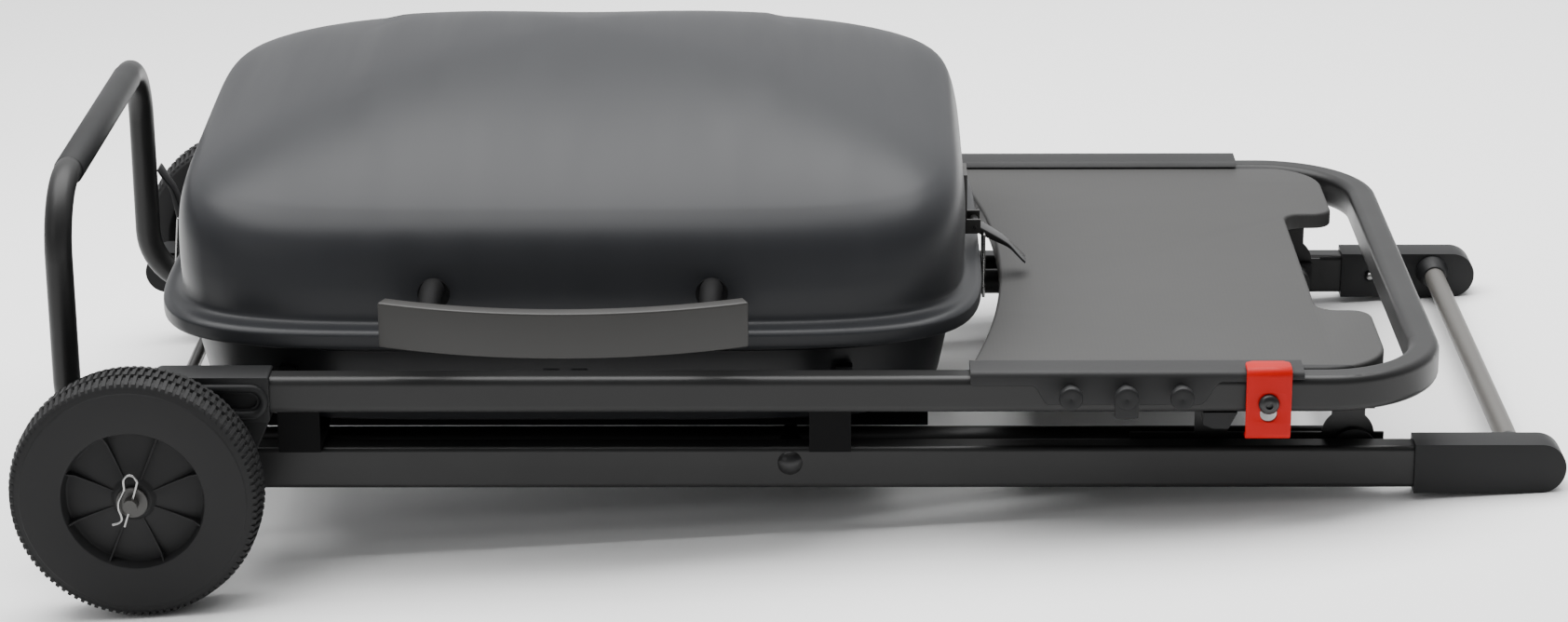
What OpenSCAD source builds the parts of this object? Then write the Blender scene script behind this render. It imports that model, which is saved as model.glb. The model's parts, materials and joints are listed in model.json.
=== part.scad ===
/* [Scissor legs] */
// Distance from the scissor pivot to each upper leg pivot
pivot_span = 408; // [400:1:415]
// Angle of each leg to the cart top when the cart stands open
open_half_angle = 34; // [28:1:36]
// Distance of each inner leg tube from the middle plane
inner_leg_y = 183; // [180:1:185]
// Diameter of the inner leg tube
inner_tube_d = 20; // [18:1:20]
// Distance of each outer leg tube from the middle plane
outer_leg_y = 221; // [221:1:223]
// Height of the outer leg tube
outer_tube_h = 32; // [28:1:32]
// Width of the outer leg tube
outer_tube_w = 20; // [18:1:20]
// How far the pull bar stands above the leg plane
pull_bar_z = 190; // [160:1:220]
// Distance of the pull bar posts from the scissor pivot
pull_bar_x = 528; // [524:1:532]

/* [Wheels and feet] */
// Outer radius of each wheel
wheel_r = 89.5; // [80:0.5:92]
// Width of each wheel
wheel_w = 42; // [38:1:44]
// Distance of the wheels' inner faces from the middle plane
wheel_inner_y = 277; // [277:1:280]
// Distance of the axle from the scissor pivot
axle_x = 460; // [455:1:462]
// Height of the axle above the leg plane
axle_z = 5; // [4:1:6]
// Radius of the foot caps' rounded ends
cap_r = 18.5; // [18.5:0.5:20]

/* [Cart top] */
// Distance of the rails' outer faces from the middle plane
rail_outer_y = 269; // [269:1:271]
// Underside of the rails above the leg plane
rail_z = 51.5; // [51:0.5:52]
// Right end of the rail loop from the scissor pivot
rail_right_x = 470; // [468:1:480]
// Top face of the side table above the leg plane
table_z = 78; // [76:0.5:78]
// Thickness of the side table's edge
table_edge = 12.5; // [10:0.5:13]
// Right end of the side table's tabs from the scissor pivot
table_right_x = 428; // [424:1:430]

/* [Cookbox and lid] */
// Distance of the cookbox centre left of the scissor pivot
box_x = 161; // [160:1:162]
// Half length of the lid's flange
flange_hx = 303; // [302:1:304]
// Half depth of the lid's flange
flange_hy = 240; // [239:1:240]
// Height at which the lid meets the bowl
rim_z = 90; // [90:0.5:91]
// Height of the top of the lid
lid_top_z = 253; // [245:1:262]
// Thickness of the lid and bowl walls
wall = 3; // [2.5:0.5:3.5]
// Length of the lid handle
handle_l = 260; // [220:1:280]

/* [Hidden] */
$fn = 48;

// Running clearance, radial, of every turning fit
run_gap = 0.05;
// Gap kept between pieces that only pass each other
free_gap = 0.5;
// Far and near ends of the cuts made through the pieces of the front side
cut_far = 300;
cut_near = 150;
// Height of the outer leg tubes' centre line
outer_z = -4;
// Centre of the foot caps' rounded ends
cap_x = 539.5;
// Radii of the pivots: axle, scissor bolts, upper pins and slider shaft
axle_r = 5;
bolt_r = 4;
pin_r = 5;
shaft_r = 5;
// Section of the rail tube
rail_w = 22;
rail_h = 27;
rail_corner_r = 90;
rail_left_x = -440;
rail_inner_y = rail_outer_y - rail_w;
rail_top_z = rail_z + rail_h;
// Travel of the sliders along their tracks
slider_travel = 2 * pivot_span * (1 - cos(open_half_angle));
// Lean of the folded cart, which stands on its wheels and foot caps
foot_reach = cap_x + axle_x;
foot_drop = axle_z - outer_z;
tilt = asin((wheel_r - cap_r) / norm([foot_reach, foot_drop])) - atan2(foot_drop, foot_reach);
// Left and right ends of the cart, from which its middle and its floor follow
wheel_left = -axle_x * cos(tilt) + axle_z * sin(tilt) - wheel_r;
cap_right = cap_x * cos(tilt) + outer_z * sin(tilt) + cap_r;
origin_x = -(wheel_left + cap_right) / 2;
origin_z = wheel_r - (axle_x * sin(tilt) + axle_z * cos(tilt));
// Lid hinge line
hinge_y = 252;
hinge_z = 98;
hinge_r = 5;
hinge_pin_r = 2.5;
hinge_xs = [-box_x - 170, -box_x + 170];
// Latch geometry, as offsets from the cookbox centre
latch_y = -30;
lever_x = flange_hx - 4;
lever_z = 118;
bail_arm = 9;
bail_l = 48;
open_dip = 33;
closed_rise = 72;
bail_lean = 5;
// Bowl, drawn in under the lid's flange
bowl_hx = flange_hx - 20;
bowl_hy = flange_hy - 14;
bowl_top = rim_z - 0.6;
bowl_floor = 22;
bowl_taper = 0.2;
// Straps under the bowl
strap_z = 14.5;
strap_t = 3;
// Control panel on the bowl's right end
knob_y = 95;
button_y = 130;
knob_z = 44;
panel_x = -box_x + bowl_hx - (bowl_top - knob_z) * bowl_taper;
inlet_y = 40;
inlet_z = 38;
inlet_r = 12;
inlet_l = 16;
spindle_r = 4;

// ---------- helpers ----------

// Puts a piece drawn in the leg plane's frame into the standing cart's frame
module place() {
    translate([origin_x, 0, origin_z]) rotate([0, tilt, 0]) children();
}

// Draws its children at the front and, mirrored, at the rear
module both_sides() {
    children();
    mirror([0, 1, 0]) children();
}

module rod_x(x0, x1, y, z, r) {
    translate([x0, y, z]) rotate([0, 90, 0]) cylinder(r = r, h = x1 - x0);
}

module rod_y(y0, y1, x, z, r) {
    translate([x, y0, z]) rotate([-90, 0, 0]) cylinder(r = r, h = y1 - y0);
}

module rod_z(z0, z1, x, y, r) {
    translate([x, y, z0]) cylinder(r = r, h = z1 - z0);
}

module block(low, high) {
    translate(low) cube(high - low);
}

// Rectangle with round corners, centred
module round_rect(w, h, r) {
    square([w - 2 * r, h], center = true);
    square([w, h - 2 * r], center = true);
    for (x = [-1, 1], y = [-1, 1])
        translate([x * (w / 2 - r), y * (h / 2 - r)]) circle(r = r, $fn = 24);
}

// Straight box tube along X, hollow
module box_tube_x(x0, x1, y, z, w, h, r, t) {
    translate([x0, y, z]) rotate([90, 0, 90])
        linear_extrude(x1 - x0) difference() {
            round_rect(w, h, r);
            round_rect(w - 2 * t, h - 2 * t, r - t);
        }
}

// Ring of points round a soft-cornered rectangle; z rises with y by lean
ring_points = 64;
corner_power = 5.5;
function soft(c) = sign(c) * pow(abs(c), 2 / corner_power);
function ring(hx, hy, cy, z, lean) = [
    for (i = [0:ring_points - 1])
        let (a = 360 * i / ring_points, x = hx * soft(cos(a)), y = hy * soft(sin(a)))
            [x - box_x, cy + y, z + lean * y]];

// Closed solid through a list of rings, capped at both ends
module loft(rings) {
    n = ring_points;
    m = len(rings);
    sides = [for (k = [0:m - 2], i = [0:n - 1])
        let (j = (i + 1) % n)
            [k * n + i, k * n + j, (k + 1) * n + j, (k + 1) * n + i]];
    first = [for (i = [n - 1:-1:0]) i];
    last = [for (i = [0:n - 1]) (m - 1) * n + i];
    polyhedron(points = [for (r = rings) for (p = r) p],
        faces = concat([first], sides, [last]), convexity = 6);
}

function arc(cx, cy, r, a0, a1, n = 12) =
    [for (i = [0:n]) let (a = a0 + (a1 - a0) * i / n) [cx + r * cos(a), cy + r * sin(a)]];

// ---------- axle and wheels ----------

// Distance of the hitch pins and of the axle's ends from the middle plane
clip_y = wheel_inner_y + wheel_w + 6;
axle_end_y = clip_y + 5;
clip_wire_r = 1.5;

module wheel_axle() {
    color("silver") place()
        difference() {
            rod_y(-axle_end_y, axle_end_y, -axle_x, axle_z, axle_r);
            for (s = [-1, 1])
                translate([-axle_x, s * clip_y, axle_z])
                    rotate([0, 90, 0]) cylinder(r = clip_wire_r + 0.1, h = 4 * axle_r, center = true);
        }
}

module axle_washers() {
    face = wheel_inner_y + wheel_w + free_gap;
    t = 1.8;
    color("silver") place() both_sides() difference() {
        rod_y(-face - t, -face, -axle_x, axle_z, 11);
        rod_y(-face - t - 1, -face + 1, -axle_x, axle_z, axle_r + run_gap);
    }
}

// Hitch pins: a straight leg through the axle and a sprung leg beside it
module axle_clips() {
    leg = 17;
    bow_r = 5;
    color("silver") place() both_sides() {
        rod_x(-axle_x - leg, -axle_x + leg, -clip_y, axle_z, clip_wire_r);
        translate([-axle_x + leg, -clip_y, axle_z + bow_r]) rotate([90, 90, 0])
            rotate_extrude(angle = 180) translate([bow_r, 0]) circle(r = clip_wire_r, $fn = 16);
        rod_x(-axle_x - leg + 8, -axle_x + leg, -clip_y, axle_z + 2 * bow_r, clip_wire_r);
    }
}

// Wheel drawn with its inner face at z = 0 and its axis along z
module wheel_body() {
    dish_r = 50;
    dish_floor = wheel_w - 13;
    hub_r = 13;
    rib_count = 8;
    difference() {
        rotate_extrude($fn = 96) polygon([
            [axle_r + run_gap, 2], [hub_r, 2], [hub_r + 4, 12], [wheel_r - 26, 12],
            [wheel_r - 22, 0], [wheel_r - 3, 0], [wheel_r, 3], [wheel_r, wheel_w - 3],
            [wheel_r - 3, wheel_w - 1], [wheel_r - 9, wheel_w - 1], [wheel_r - 10, wheel_w],
            [dish_r + 7, wheel_w], [dish_r, dish_floor], [hub_r, dish_floor],
            [hub_r - 2, wheel_w - 3], [axle_r + run_gap, wheel_w - 3]]);
        translate([0, 0, -1]) cylinder(r = axle_r + run_gap, h = wheel_w + 2);
    }
    for (i = [0:rib_count - 1])
        rotate([0, 0, i * 360 / rib_count])
            translate([hub_r - 4, -1.5, dish_floor - 2]) cube([dish_r - hub_r + 6, 3, 9]);
}

module wheel_front() {
    translate([-axle_x, -wheel_inner_y, axle_z]) rotate([90, 0, 0]) wheel_body();
}

module front_wheel() {
    color("#26282a") place() wheel_front();
}

module rear_wheel() {
    color("#26282a") place() mirror([0, 1, 0]) wheel_front();
}

// ---------- inner leg ----------

leg_bend_r = 45;
bar_bend_r = 50;
knuckle_half = inner_tube_d / 2 + 0.8;
knuckle_r = inner_tube_d / 2 + 1.5;

// Front half of the inner leg and pull bar, as a bent rod of radius r
module inner_leg_path(r) {
    y = -inner_leg_y;
    bx = -pull_bar_x + leg_bend_r;
    rod_x(bx, pivot_span, y, 0, r);
    translate([bx, y, leg_bend_r]) rotate([90, 0, 0])
        rotate([0, 0, 180]) rotate_extrude(angle = 90) translate([leg_bend_r, 0]) circle(r = r);
    rod_z(leg_bend_r, pull_bar_z - bar_bend_r, -pull_bar_x, y, r);
    translate([-pull_bar_x, y + bar_bend_r, pull_bar_z - bar_bend_r]) rotate([0, 0, 90])
        rotate([90, 0, 0]) rotate([0, 0, 90])
            rotate_extrude(angle = 90) translate([bar_bend_r, 0]) circle(r = r);
    rod_y(y + bar_bend_r, 0, -pull_bar_x, pull_bar_z, r);
}

module inner_leg_tube() {
    color("#1c1d1f") place()
        difference() {
            both_sides() {
                inner_leg_path(inner_tube_d / 2);
                rod_y(-inner_leg_y - knuckle_half, -inner_leg_y + knuckle_half, pivot_span, 0, knuckle_r);
            }
            rod_y(-cut_far, cut_far, -axle_x, axle_z, axle_r + 0.4);
            rod_y(-cut_far, cut_far, 0, 0, bolt_r);
            rod_y(-cut_far, cut_far, pivot_span, 0, shaft_r);
        }
}

// Moulded bracket between the leg and the wheel, round at the axle and at its tail
module axle_bracket() {
    bracket_y0 = 199;
    bracket_y1 = 231;
    tail_x = -axle_x - 58;
    tail_z = 3;
    tail_r = 17;
    boss_y = inner_leg_y + inner_tube_d / 2 - 1.5;
    difference() {
        union() {
            rod_y(-bracket_y1, -bracket_y0, -axle_x, axle_z, 20);
            block([tail_x, -bracket_y1, tail_z - tail_r], [-axle_x, -bracket_y0, tail_z + tail_r]);
            rod_y(-bracket_y1, -bracket_y0, tail_x, tail_z, tail_r);
            rod_y(-bracket_y0 - 1, -boss_y, -axle_x, axle_z, 9);
            rod_y(-bracket_y0 - 1, -boss_y, tail_x + 6, tail_z + 9, 6);
            rod_y(-wheel_inner_y + free_gap, -bracket_y1, -axle_x, axle_z, 11);
        }
        rod_y(-cut_far, -cut_near, -axle_x, axle_z, axle_r + run_gap);
        inner_leg_path(inner_tube_d / 2 + 0.02);
    }
}

module axle_bracket_front() {
    color("#2b2d2f") place() axle_bracket();
}

module axle_bracket_rear() {
    color("#2b2d2f") place() mirror([0, 1, 0]) axle_bracket();
}

// Shaft through both free ends of the inner leg, with the sliders on its ends
slider_y0 = inner_leg_y + inner_tube_d / 2 + 1.5;
slider_y1 = outer_leg_y - outer_tube_w / 2 - 2;

module slider_shaft() {
    color("silver") place() {
        rod_y(-slider_y1, slider_y1, pivot_span, 0, shaft_r);
    }
}

module scissor_bolts() {
    head_y = outer_leg_y + outer_tube_w / 2 + free_gap;
    nut_y = inner_leg_y - inner_tube_d / 2;
    color("#303234") place() both_sides() {
        rod_y(-head_y - 1, -nut_y + 6, 0, 0, bolt_r);
        intersection() {
            translate([0, -head_y + 6.5, 0]) sphere(r = 11);
            rod_y(-head_y - 4.5, -head_y, 0, 0, 9);
        }
        translate([0, -nut_y + 6, 0]) rotate([90, 0, 0]) cylinder(r = 7.5, h = 6, $fn = 6);
    }
}

module scissor_spacers() {
    color("#1b1c1e") place() both_sides() difference() {
        rod_y(-outer_leg_y + outer_tube_w / 2 + free_gap, -inner_leg_y - inner_tube_d / 2 + 4, 0, 0, 9);
        rod_x(-20, 20, -inner_leg_y, 0, inner_tube_d / 2);
        rod_y(-cut_far, -cut_near, 0, 0, bolt_r);
    }
}

// ---------- sliders ----------

// Inner face, thickness and half the slot's height of the slide tracks
track_web_y = 201;
track_web_t = 2.5;
slot_half = 6.5;
// Left end of the latch catches
catch_x0 = 293;

module slider_block() {
    key_half_x = 11;
    flange_half_x = 15;
    flange_half_z = 10;
    web_y0 = track_web_y - free_gap;
    web_y1 = track_web_y + track_web_t + free_gap;
    difference() {
        union() {
            block([pivot_span - key_half_x, -web_y1 - 0.5, -slot_half + free_gap],
                [pivot_span + key_half_x, -web_y0 + 0.5, slot_half - free_gap]);
            block([pivot_span - flange_half_x, -web_y0, -flange_half_z],
                [pivot_span + flange_half_x, -slider_y0, flange_half_z]);
            rod_y(-slider_y1, -web_y1, pivot_span, 0, 17);
        }
        rod_y(-cut_far, -cut_near, pivot_span, 0, shaft_r + run_gap);
    }
}

module slider_block_front() {
    color("#1b1c1e") place() slider_block();
}

module slider_block_rear() {
    color("#1b1c1e") place() mirror([0, 1, 0]) slider_block();
}

// ---------- outer legs ----------

// Places along the legs of the snap buttons and the cross bar, and their radii
button_x = 472;
snap_r = 3.5;
cross_bar_x = 523;
cross_bar_r = 8;
// End of the outer leg tubes inside the foot caps
tube_end_x = cap_x - 6;

module outer_leg_tube() {
    end_x = -pivot_span;
    plug_half = outer_tube_w / 2 - 0.7;
    plug_r = outer_tube_h / 2 - 3.5;
    difference() {
        union() {
            box_tube_x(end_x - 3, tube_end_x, -outer_leg_y, outer_z, outer_tube_w, outer_tube_h, 4, 2);
            rod_y(-outer_leg_y - plug_half, -outer_leg_y + plug_half, end_x, outer_z, plug_r);
            rod_y(-outer_leg_y - outer_tube_w / 2 + 1, -outer_leg_y + outer_tube_w / 2 - 1, 0, 0, 8.5);
        }
        rod_y(-cut_far, -cut_near, end_x, 0, pin_r + run_gap);
        rod_y(-cut_far, -cut_near, 0, 0, bolt_r + run_gap);
        rod_y(-outer_leg_y + 2, -cut_near, button_x, outer_z, snap_r + 0.1);
        rod_y(-outer_leg_y - 3, -cut_near, cross_bar_x, 0, 6);
    }
}

module outer_leg_tube_front() {
    color("#1c1d1f") place() outer_leg_tube();
}

module outer_leg_tube_rear() {
    color("#1c1d1f") place() mirror([0, 1, 0]) outer_leg_tube();
}

// Width and left end of the foot caps
cap_w = 26;
cap_left_x = 449;

// Slab of the given width with a round tip, drawn in by inset
module foot_slab(width, inset) {
    r = cap_r - inset;
    translate([0, -outer_leg_y + width / 2, outer_z]) rotate([90, 0, 0]) linear_extrude(width)
        polygon(concat([[cap_left_x, r], [cap_left_x, -r]], arc(cap_x, 0, r, -90, 90, 32)));
}

// Moulded sleeve over the tube's end, round at the tip
module foot_cap() {
    side = outer_leg_y - cap_w / 2;
    difference() {
        union() {
            foot_slab(cap_w, 1.5);
            foot_slab(cap_w - 3, 0);
        }
        translate([cap_left_x - 1, -outer_leg_y, outer_z]) rotate([90, 0, 90])
            linear_extrude(tube_end_x - cap_left_x + 1.2)
                round_rect(outer_tube_w + 0.1, outer_tube_h + 0.1, 4);
        rod_y(-side - 6, -cut_near, button_x, outer_z, snap_r + 0.1);
        rod_y(-side - 6, -cut_near, cross_bar_x, 0, cross_bar_r + 0.05);
    }
}

module foot_cap_front() {
    color("#222426") place() foot_cap();
}

module foot_cap_rear() {
    color("#222426") place() mirror([0, 1, 0]) foot_cap();
}

module foot_cross_bar() {
    inner_face = outer_leg_y - outer_tube_w / 2;
    cap_face = outer_leg_y - cap_w / 2;
    color("#77746e") place() {
        rod_y(-inner_face, inner_face, cross_bar_x, 0, cross_bar_r);
        both_sides() rod_y(-inner_face - 6, -inner_face + 1, cross_bar_x, 0, 5.5);
        both_sides() rod_y(-cap_face + 0.2, -cap_face + 7, cross_bar_x, 0, 11.5);
    }
}

module cap_snap_buttons() {
    color("silver") place() both_sides() {
        rod_y(-outer_leg_y + 4, -outer_leg_y + cap_w / 2 + 1, button_x, outer_z, snap_r);
        translate([button_x, -outer_leg_y + cap_w / 2 + 1, outer_z]) sphere(r = snap_r, $fn = 24);
    }
}

// ---------- cart top ----------

module rail_profile(t) {
    round_rect(rail_w - 2 * t, rail_h - 2 * t, 6 - t);
}

module top_frame_tube() {
    mid_y = rail_outer_y - rail_w / 2;
    mid_z = rail_z + rail_h / 2;
    mid_r = rail_corner_r - rail_w / 2;
    corner_x = rail_right_x - rail_corner_r;
    corner_y = rail_outer_y - rail_corner_r;
    color("#1c1d1f") place() both_sides() {
        translate([rail_left_x, -mid_y, mid_z]) rotate([90, 0, 90])
            linear_extrude(corner_x - rail_left_x) difference() {
                rail_profile(0);
                rail_profile(2);
            }
        translate([corner_x, -corner_y, mid_z]) rotate([0, 0, -90])
            rotate_extrude(angle = 90) translate([mid_r, 0]) difference() {
                rail_profile(0);
                rail_profile(2);
            }
        translate([rail_right_x - rail_w / 2, -corner_y, mid_z]) rotate([-90, 0, 0])
            linear_extrude(corner_y) difference() {
                rail_profile(0);
                rail_profile(2);
            }
        block([rail_left_x - 2, -rail_outer_y + 1, rail_z + 1],
            [rail_left_x + 1, -rail_inner_y - 1, rail_top_z - 1]);
    }
}

// Ends of the pivot brackets, and the faces of the lugs beside the rails
bracket_left = -449;
bracket_right = -367;
lug_y0 = outer_leg_y + outer_tube_w / 2 + free_gap + 0.5;
lug_y1 = rail_inner_y - free_gap;

// Plate beside the rail that carries the outer leg's upper pivot
module pivot_bracket() {
    low = rail_z - 4;
    top = rail_top_z + 3;
    out = rail_outer_y + 3.4;
    cheek_x = bracket_right - 6;
    cheek_y = rail_outer_y + 0.02;
    difference() {
        union() {
            rotate([90, 0, 0]) translate([0, 0, lug_y0]) linear_extrude(lug_y1 - lug_y0)
                polygon(concat([[bracket_left, rail_top_z - 4], [bracket_left, low - 2]],
                    arc(-pivot_span, 0, 18, 190, 350, 16),
                    [[bracket_right, low - 2], [bracket_right, rail_top_z - 4]]));
            block([bracket_left, -rail_outer_y - 3, low], [bracket_right, -lug_y0, rail_z]);
            block([bracket_left, -out, low], [cheek_x, -cheek_y, top]);
            block([bracket_left, -out, rail_top_z], [cheek_x, -lug_y0, top]);
            block([bracket_left - 3, -out, low], [rail_left_x - 2, -lug_y0, top]);
            rod_y(-out, -cheek_y, cheek_x, rail_z + 5, 9);
            block([cheek_x, -lug_y1, rail_z - 10], [bracket_right + 0.4, -lug_y0, rail_z + 10]);
        }
        rod_y(-cut_far, -cut_near, -pivot_span, 0, pin_r);
    }
}

module pivot_bracket_front() {
    color("#1f2123") place() pivot_bracket();
}

module pivot_bracket_rear() {
    color("#1f2123") place() mirror([0, 1, 0]) pivot_bracket();
}

module leg_hinge_pins() {
    tube_face = outer_leg_y - outer_tube_w / 2;
    color("#303234") place() both_sides() {
        rod_y(-lug_y1 - 0.2, -tube_face + 1, -pivot_span, 0, pin_r);
        rod_y(-lug_y1 - 5, -lug_y1, -pivot_span, 0, 9);
        rod_y(-tube_face + 0.6, -tube_face + 4, -pivot_span, 0, 8);
    }
}

// Slotted bar that the slider runs in, hung from the rail by two bent straps, with a round right end
module slide_track() {
    overrun = 22;
    slot_end = 8;
    x0 = pivot_span - slider_travel - overrun;
    x1 = pivot_span + overrun;
    web_y1 = track_web_y + track_web_t;
    web_half = 13;
    strap_w = 24;
    strap_low = rail_z - 2.6;
    difference() {
        union() {
            block([x0, -web_y1, -web_half], [x1, -track_web_y, web_half]);
            for (x = [catch_x0, pivot_span - 16]) {
                block([x, -web_y1, web_half - 1], [x + strap_w, -track_web_y, strap_low]);
                block([x, -rail_inner_y - 4.5, strap_low], [x + strap_w, -track_web_y, rail_z]);
            }
            rod_y(-web_y1, -track_web_y, pivot_span - 4, 11, 19);
        }
        block([x0 + slot_end, -cut_far, -slot_half], [x1 - slot_end, -cut_near, slot_half]);
    }
}

module slide_track_front() {
    color("#1b1c1e") place() slide_track();
}

module slide_track_rear() {
    color("#1b1c1e") place() mirror([0, 1, 0]) slide_track();
}

// Side table: its bowed left edge, and the notch between the tabs at its right end
table_left_x = 129;
table_bow = 29;
table_bow_half = 240;
table_half_y = rail_inner_y - free_gap;
table_notch_x = 389;
table_tab_y = 118;
table_corner_r = 50;
table_notch_r = 15;
table_skin = 3;

// Rear half of the table's outline, drawn in by d
function table_half(d) =
    let (bow_r = (table_bow_half * table_bow_half + table_bow * table_bow) / (2 * table_bow),
        bow_cx = table_left_x + table_bow - bow_r,
        steps = 10,
        top = table_half_y - d)
    concat(
        [for (i = [0:steps]) let (y = top * i / steps) [bow_cx + sqrt(pow(bow_r + d, 2) - y * y), y]],
        arc(table_right_x - table_corner_r, table_half_y - table_corner_r, table_corner_r - d, 90, 0),
        arc(table_right_x - table_notch_r, table_tab_y + table_notch_r, table_notch_r - d, 0, -90, 6),
        arc(table_notch_x + table_notch_r, table_tab_y - table_notch_r, table_notch_r + d, 90, 180, 6));

module table_outline(d) {
    half = table_half(d);
    n = len(half);
    polygon(concat(half, [for (i = [n - 1:-1:0]) [half[i][0], -half[i][1]]]));
}

// Skirt of the table over the rail, with the heights of its lower edge at the
// left end, over the hooks and at the right end
skirt_x0 = 128;
skirt_x1 = 363;
skirt_t = 2.6;
skirt_gap = 0.4;
skirt_left_z = 73;
skirt_hook_z = 59;
skirt_right_z = 76;

// Height between z0 and z1 on a soft step that starts at x0 and is w long
function soft_step(x, x0, w, z0, z1) =
    x < x0 ? z0 : x < x0 + w ? z0 + (z1 - z0) * (1 - cos(180 * (x - x0) / w)) / 2 : z1;
function skirt_edge(x) = x < 200
    ? soft_step(x, 170, 12, skirt_left_z, skirt_hook_z)
    : soft_step(x, 296, 10, skirt_hook_z, skirt_right_z);

module skirt() {
    top = rail_top_z + 5;
    steps = 60;
    right = skirt_x1 - 12;
    rotate([90, 0, 0]) translate([0, 0, rail_outer_y + skirt_gap]) linear_extrude(skirt_t)
        polygon(concat([[right, top], [skirt_x0, top]],
            [for (i = [0:steps]) let (x = skirt_x0 + (right - skirt_x0) * i / steps) [x, skirt_edge(x)]]));
}

module side_table() {
    under = table_z - table_edge;
    rib_h = 8;
    color("#3f4144") place() difference() {
        union() {
            translate([0, 0, table_z - table_skin]) linear_extrude(table_skin) table_outline(0);
            translate([0, 0, under]) linear_extrude(table_edge) difference() {
                table_outline(0);
                table_outline(2.5);
            }
            for (x = [205, 260, 315, 370])
                block([x - 1, -table_half_y + 1, table_z - rib_h], [x + 1, table_half_y - 1, table_z - 1]);
            for (y = [-160, -80, 0, 80, 160])
                block([168, y - 1, table_z - rib_h], [378, y + 1, table_z - 1]);
            both_sides() {
                block([skirt_x0, -rail_outer_y - skirt_gap - skirt_t, rail_top_z + 0.4],
                    [skirt_x1, -table_half_y + 6, rail_top_z + 5]);
                block([skirt_x0 + 6, -table_half_y, table_z - table_skin],
                    [skirt_x1, -table_half_y + 6, rail_top_z + 5]);
                skirt();
            }
        }
        block([skirt_x0 - 40, -table_half_y + 6.01, table_z],
            [skirt_x1 + 40, table_half_y - 6.01, table_z + 40]);
    }
}

// Places of the tool hooks along the skirt, and their height
hook_xs = [198, 237, 276];
hook_z = 70;

module tool_hooks() {
    root = rail_outer_y + skirt_gap + skirt_t;
    neck = root + 12;
    face = neck + 7;
    head_r = 8.4;
    tab_low = 49;
    color("#2c2e30") place() {
        for (x = hook_xs) {
            rod_y(-neck, -root, x, hook_z, 5);
            rod_y(-face, -neck, x, hook_z, head_r);
        }
        block([hook_xs[1] - head_r, -face, tab_low], [hook_xs[1] + head_r, -neck, hook_z]);
    }
}

// Release latch: its ends, its inner face and thickness, its bolt and its slot
latch_x0 = 322;
latch_x1 = 354;
latch_face_y = rail_outer_y + skirt_gap + skirt_t + free_gap;
latch_t = 3;
latch_stem_r = 4;
latch_slot_r = 6;
latch_bolt_z = 61.2;

// Bent red plate that slides up on its bolt, with a lip over the rail
module release_latch() {
    low = 34;
    high = rail_top_z + 8.5;
    slot_x = (latch_x0 + latch_x1) / 2;
    slot_low = latch_bolt_z - 7.7;
    slot_high = latch_bolt_z + 1.4;
    color("#d8202a") place() difference() {
        union() {
            block([latch_x0, -latch_face_y - latch_t, low], [latch_x1, -latch_face_y, high]);
            block([latch_x0, -latch_face_y - 0.5, high - latch_t], [latch_x1, -rail_outer_y + 12, high]);
            block([latch_x0, -latch_face_y - 0.5, low], [latch_x1, -latch_face_y + 6, low + latch_t]);
        }
        block([slot_x - latch_slot_r, -cut_far, slot_low],
            [slot_x + latch_slot_r, -cut_near, slot_high]);
        for (z = [slot_low, slot_high])
            rod_y(-cut_far, -cut_near, slot_x, z, latch_slot_r);
    }
}

module latch_bolt() {
    x = (latch_x0 + latch_x1) / 2;
    face = latch_face_y + latch_t + free_gap;
    z = latch_bolt_z;
    color("#202224") place() difference() {
        union() {
            rod_y(-face - 0.5, -rail_outer_y - 0.01, x, z, latch_stem_r);
            intersection() {
                translate([x, -face + 4.6, z]) sphere(r = 8.6);
                rod_y(-face - 4, -face, x, z, 7.3);
            }
        }
        translate([x, -face - 1.6, z]) rotate([90, 0, 0]) cylinder(r = 2.6, h = 10, $fn = 6);
    }
}

// Block under the rail with the ramp that the latch works against
module latch_catch() {
    color("#1b1c1e") place()
        rotate([90, 0, 0]) translate([0, 0, rail_inner_y + 5]) linear_extrude(rail_w - 7)
            translate([catch_x0, rail_z])
                polygon([[0, 0], [0, -9], [7, -12], [18, -12], [24, 0]]);
}

// ---------- cookbox ----------

function bowl_ring(inset, z) =
    let (drawn = inset + (bowl_top - z) * bowl_taper)
        ring(bowl_hx - drawn, bowl_hy - drawn, 0, z, 0);

// Outer form of the bowl, solid, that pieces on its walls are cut to
module bowl_form() {
    loft([
        bowl_ring(-4, bowl_top), bowl_ring(-4, bowl_top - 4), bowl_ring(0, bowl_top - 6),
        bowl_ring(0, bowl_floor + 14), bowl_ring(5, bowl_floor + 3), bowl_ring(13, bowl_floor)]);
}

module cookbox() {
    ledge_z = 70;
    color("#1d1f21") place() difference() {
        union() {
            loft([
                bowl_ring(60, bowl_floor + wall), bowl_ring(14 + wall, bowl_floor + wall),
                bowl_ring(6 + wall, bowl_floor + wall + 4), bowl_ring(wall, bowl_floor + 16),
                bowl_ring(wall, bowl_top - 10), bowl_ring(wall, bowl_top),
                bowl_ring(-4, bowl_top), bowl_ring(-4, bowl_top - 4), bowl_ring(0, bowl_top - 6),
                bowl_ring(0, bowl_floor + 14), bowl_ring(5, bowl_floor + 3),
                bowl_ring(13, bowl_floor), bowl_ring(60, bowl_floor)]);
            for (x = [-200, -10, 10, 200])
                both_sides()
                    block([-box_x + x - 6, -bowl_hy + 4, ledge_z - 12],
                        [-box_x + x + 6, -bowl_hy + 46, ledge_z]);
        }
        translate([-box_x, 0, 0]) cylinder(r = 14, h = 60);
        rod_x(60, 200, knob_y, knob_z, 6.3);
        rod_x(60, 200, button_y, knob_z, 5.3);
    }
}

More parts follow.
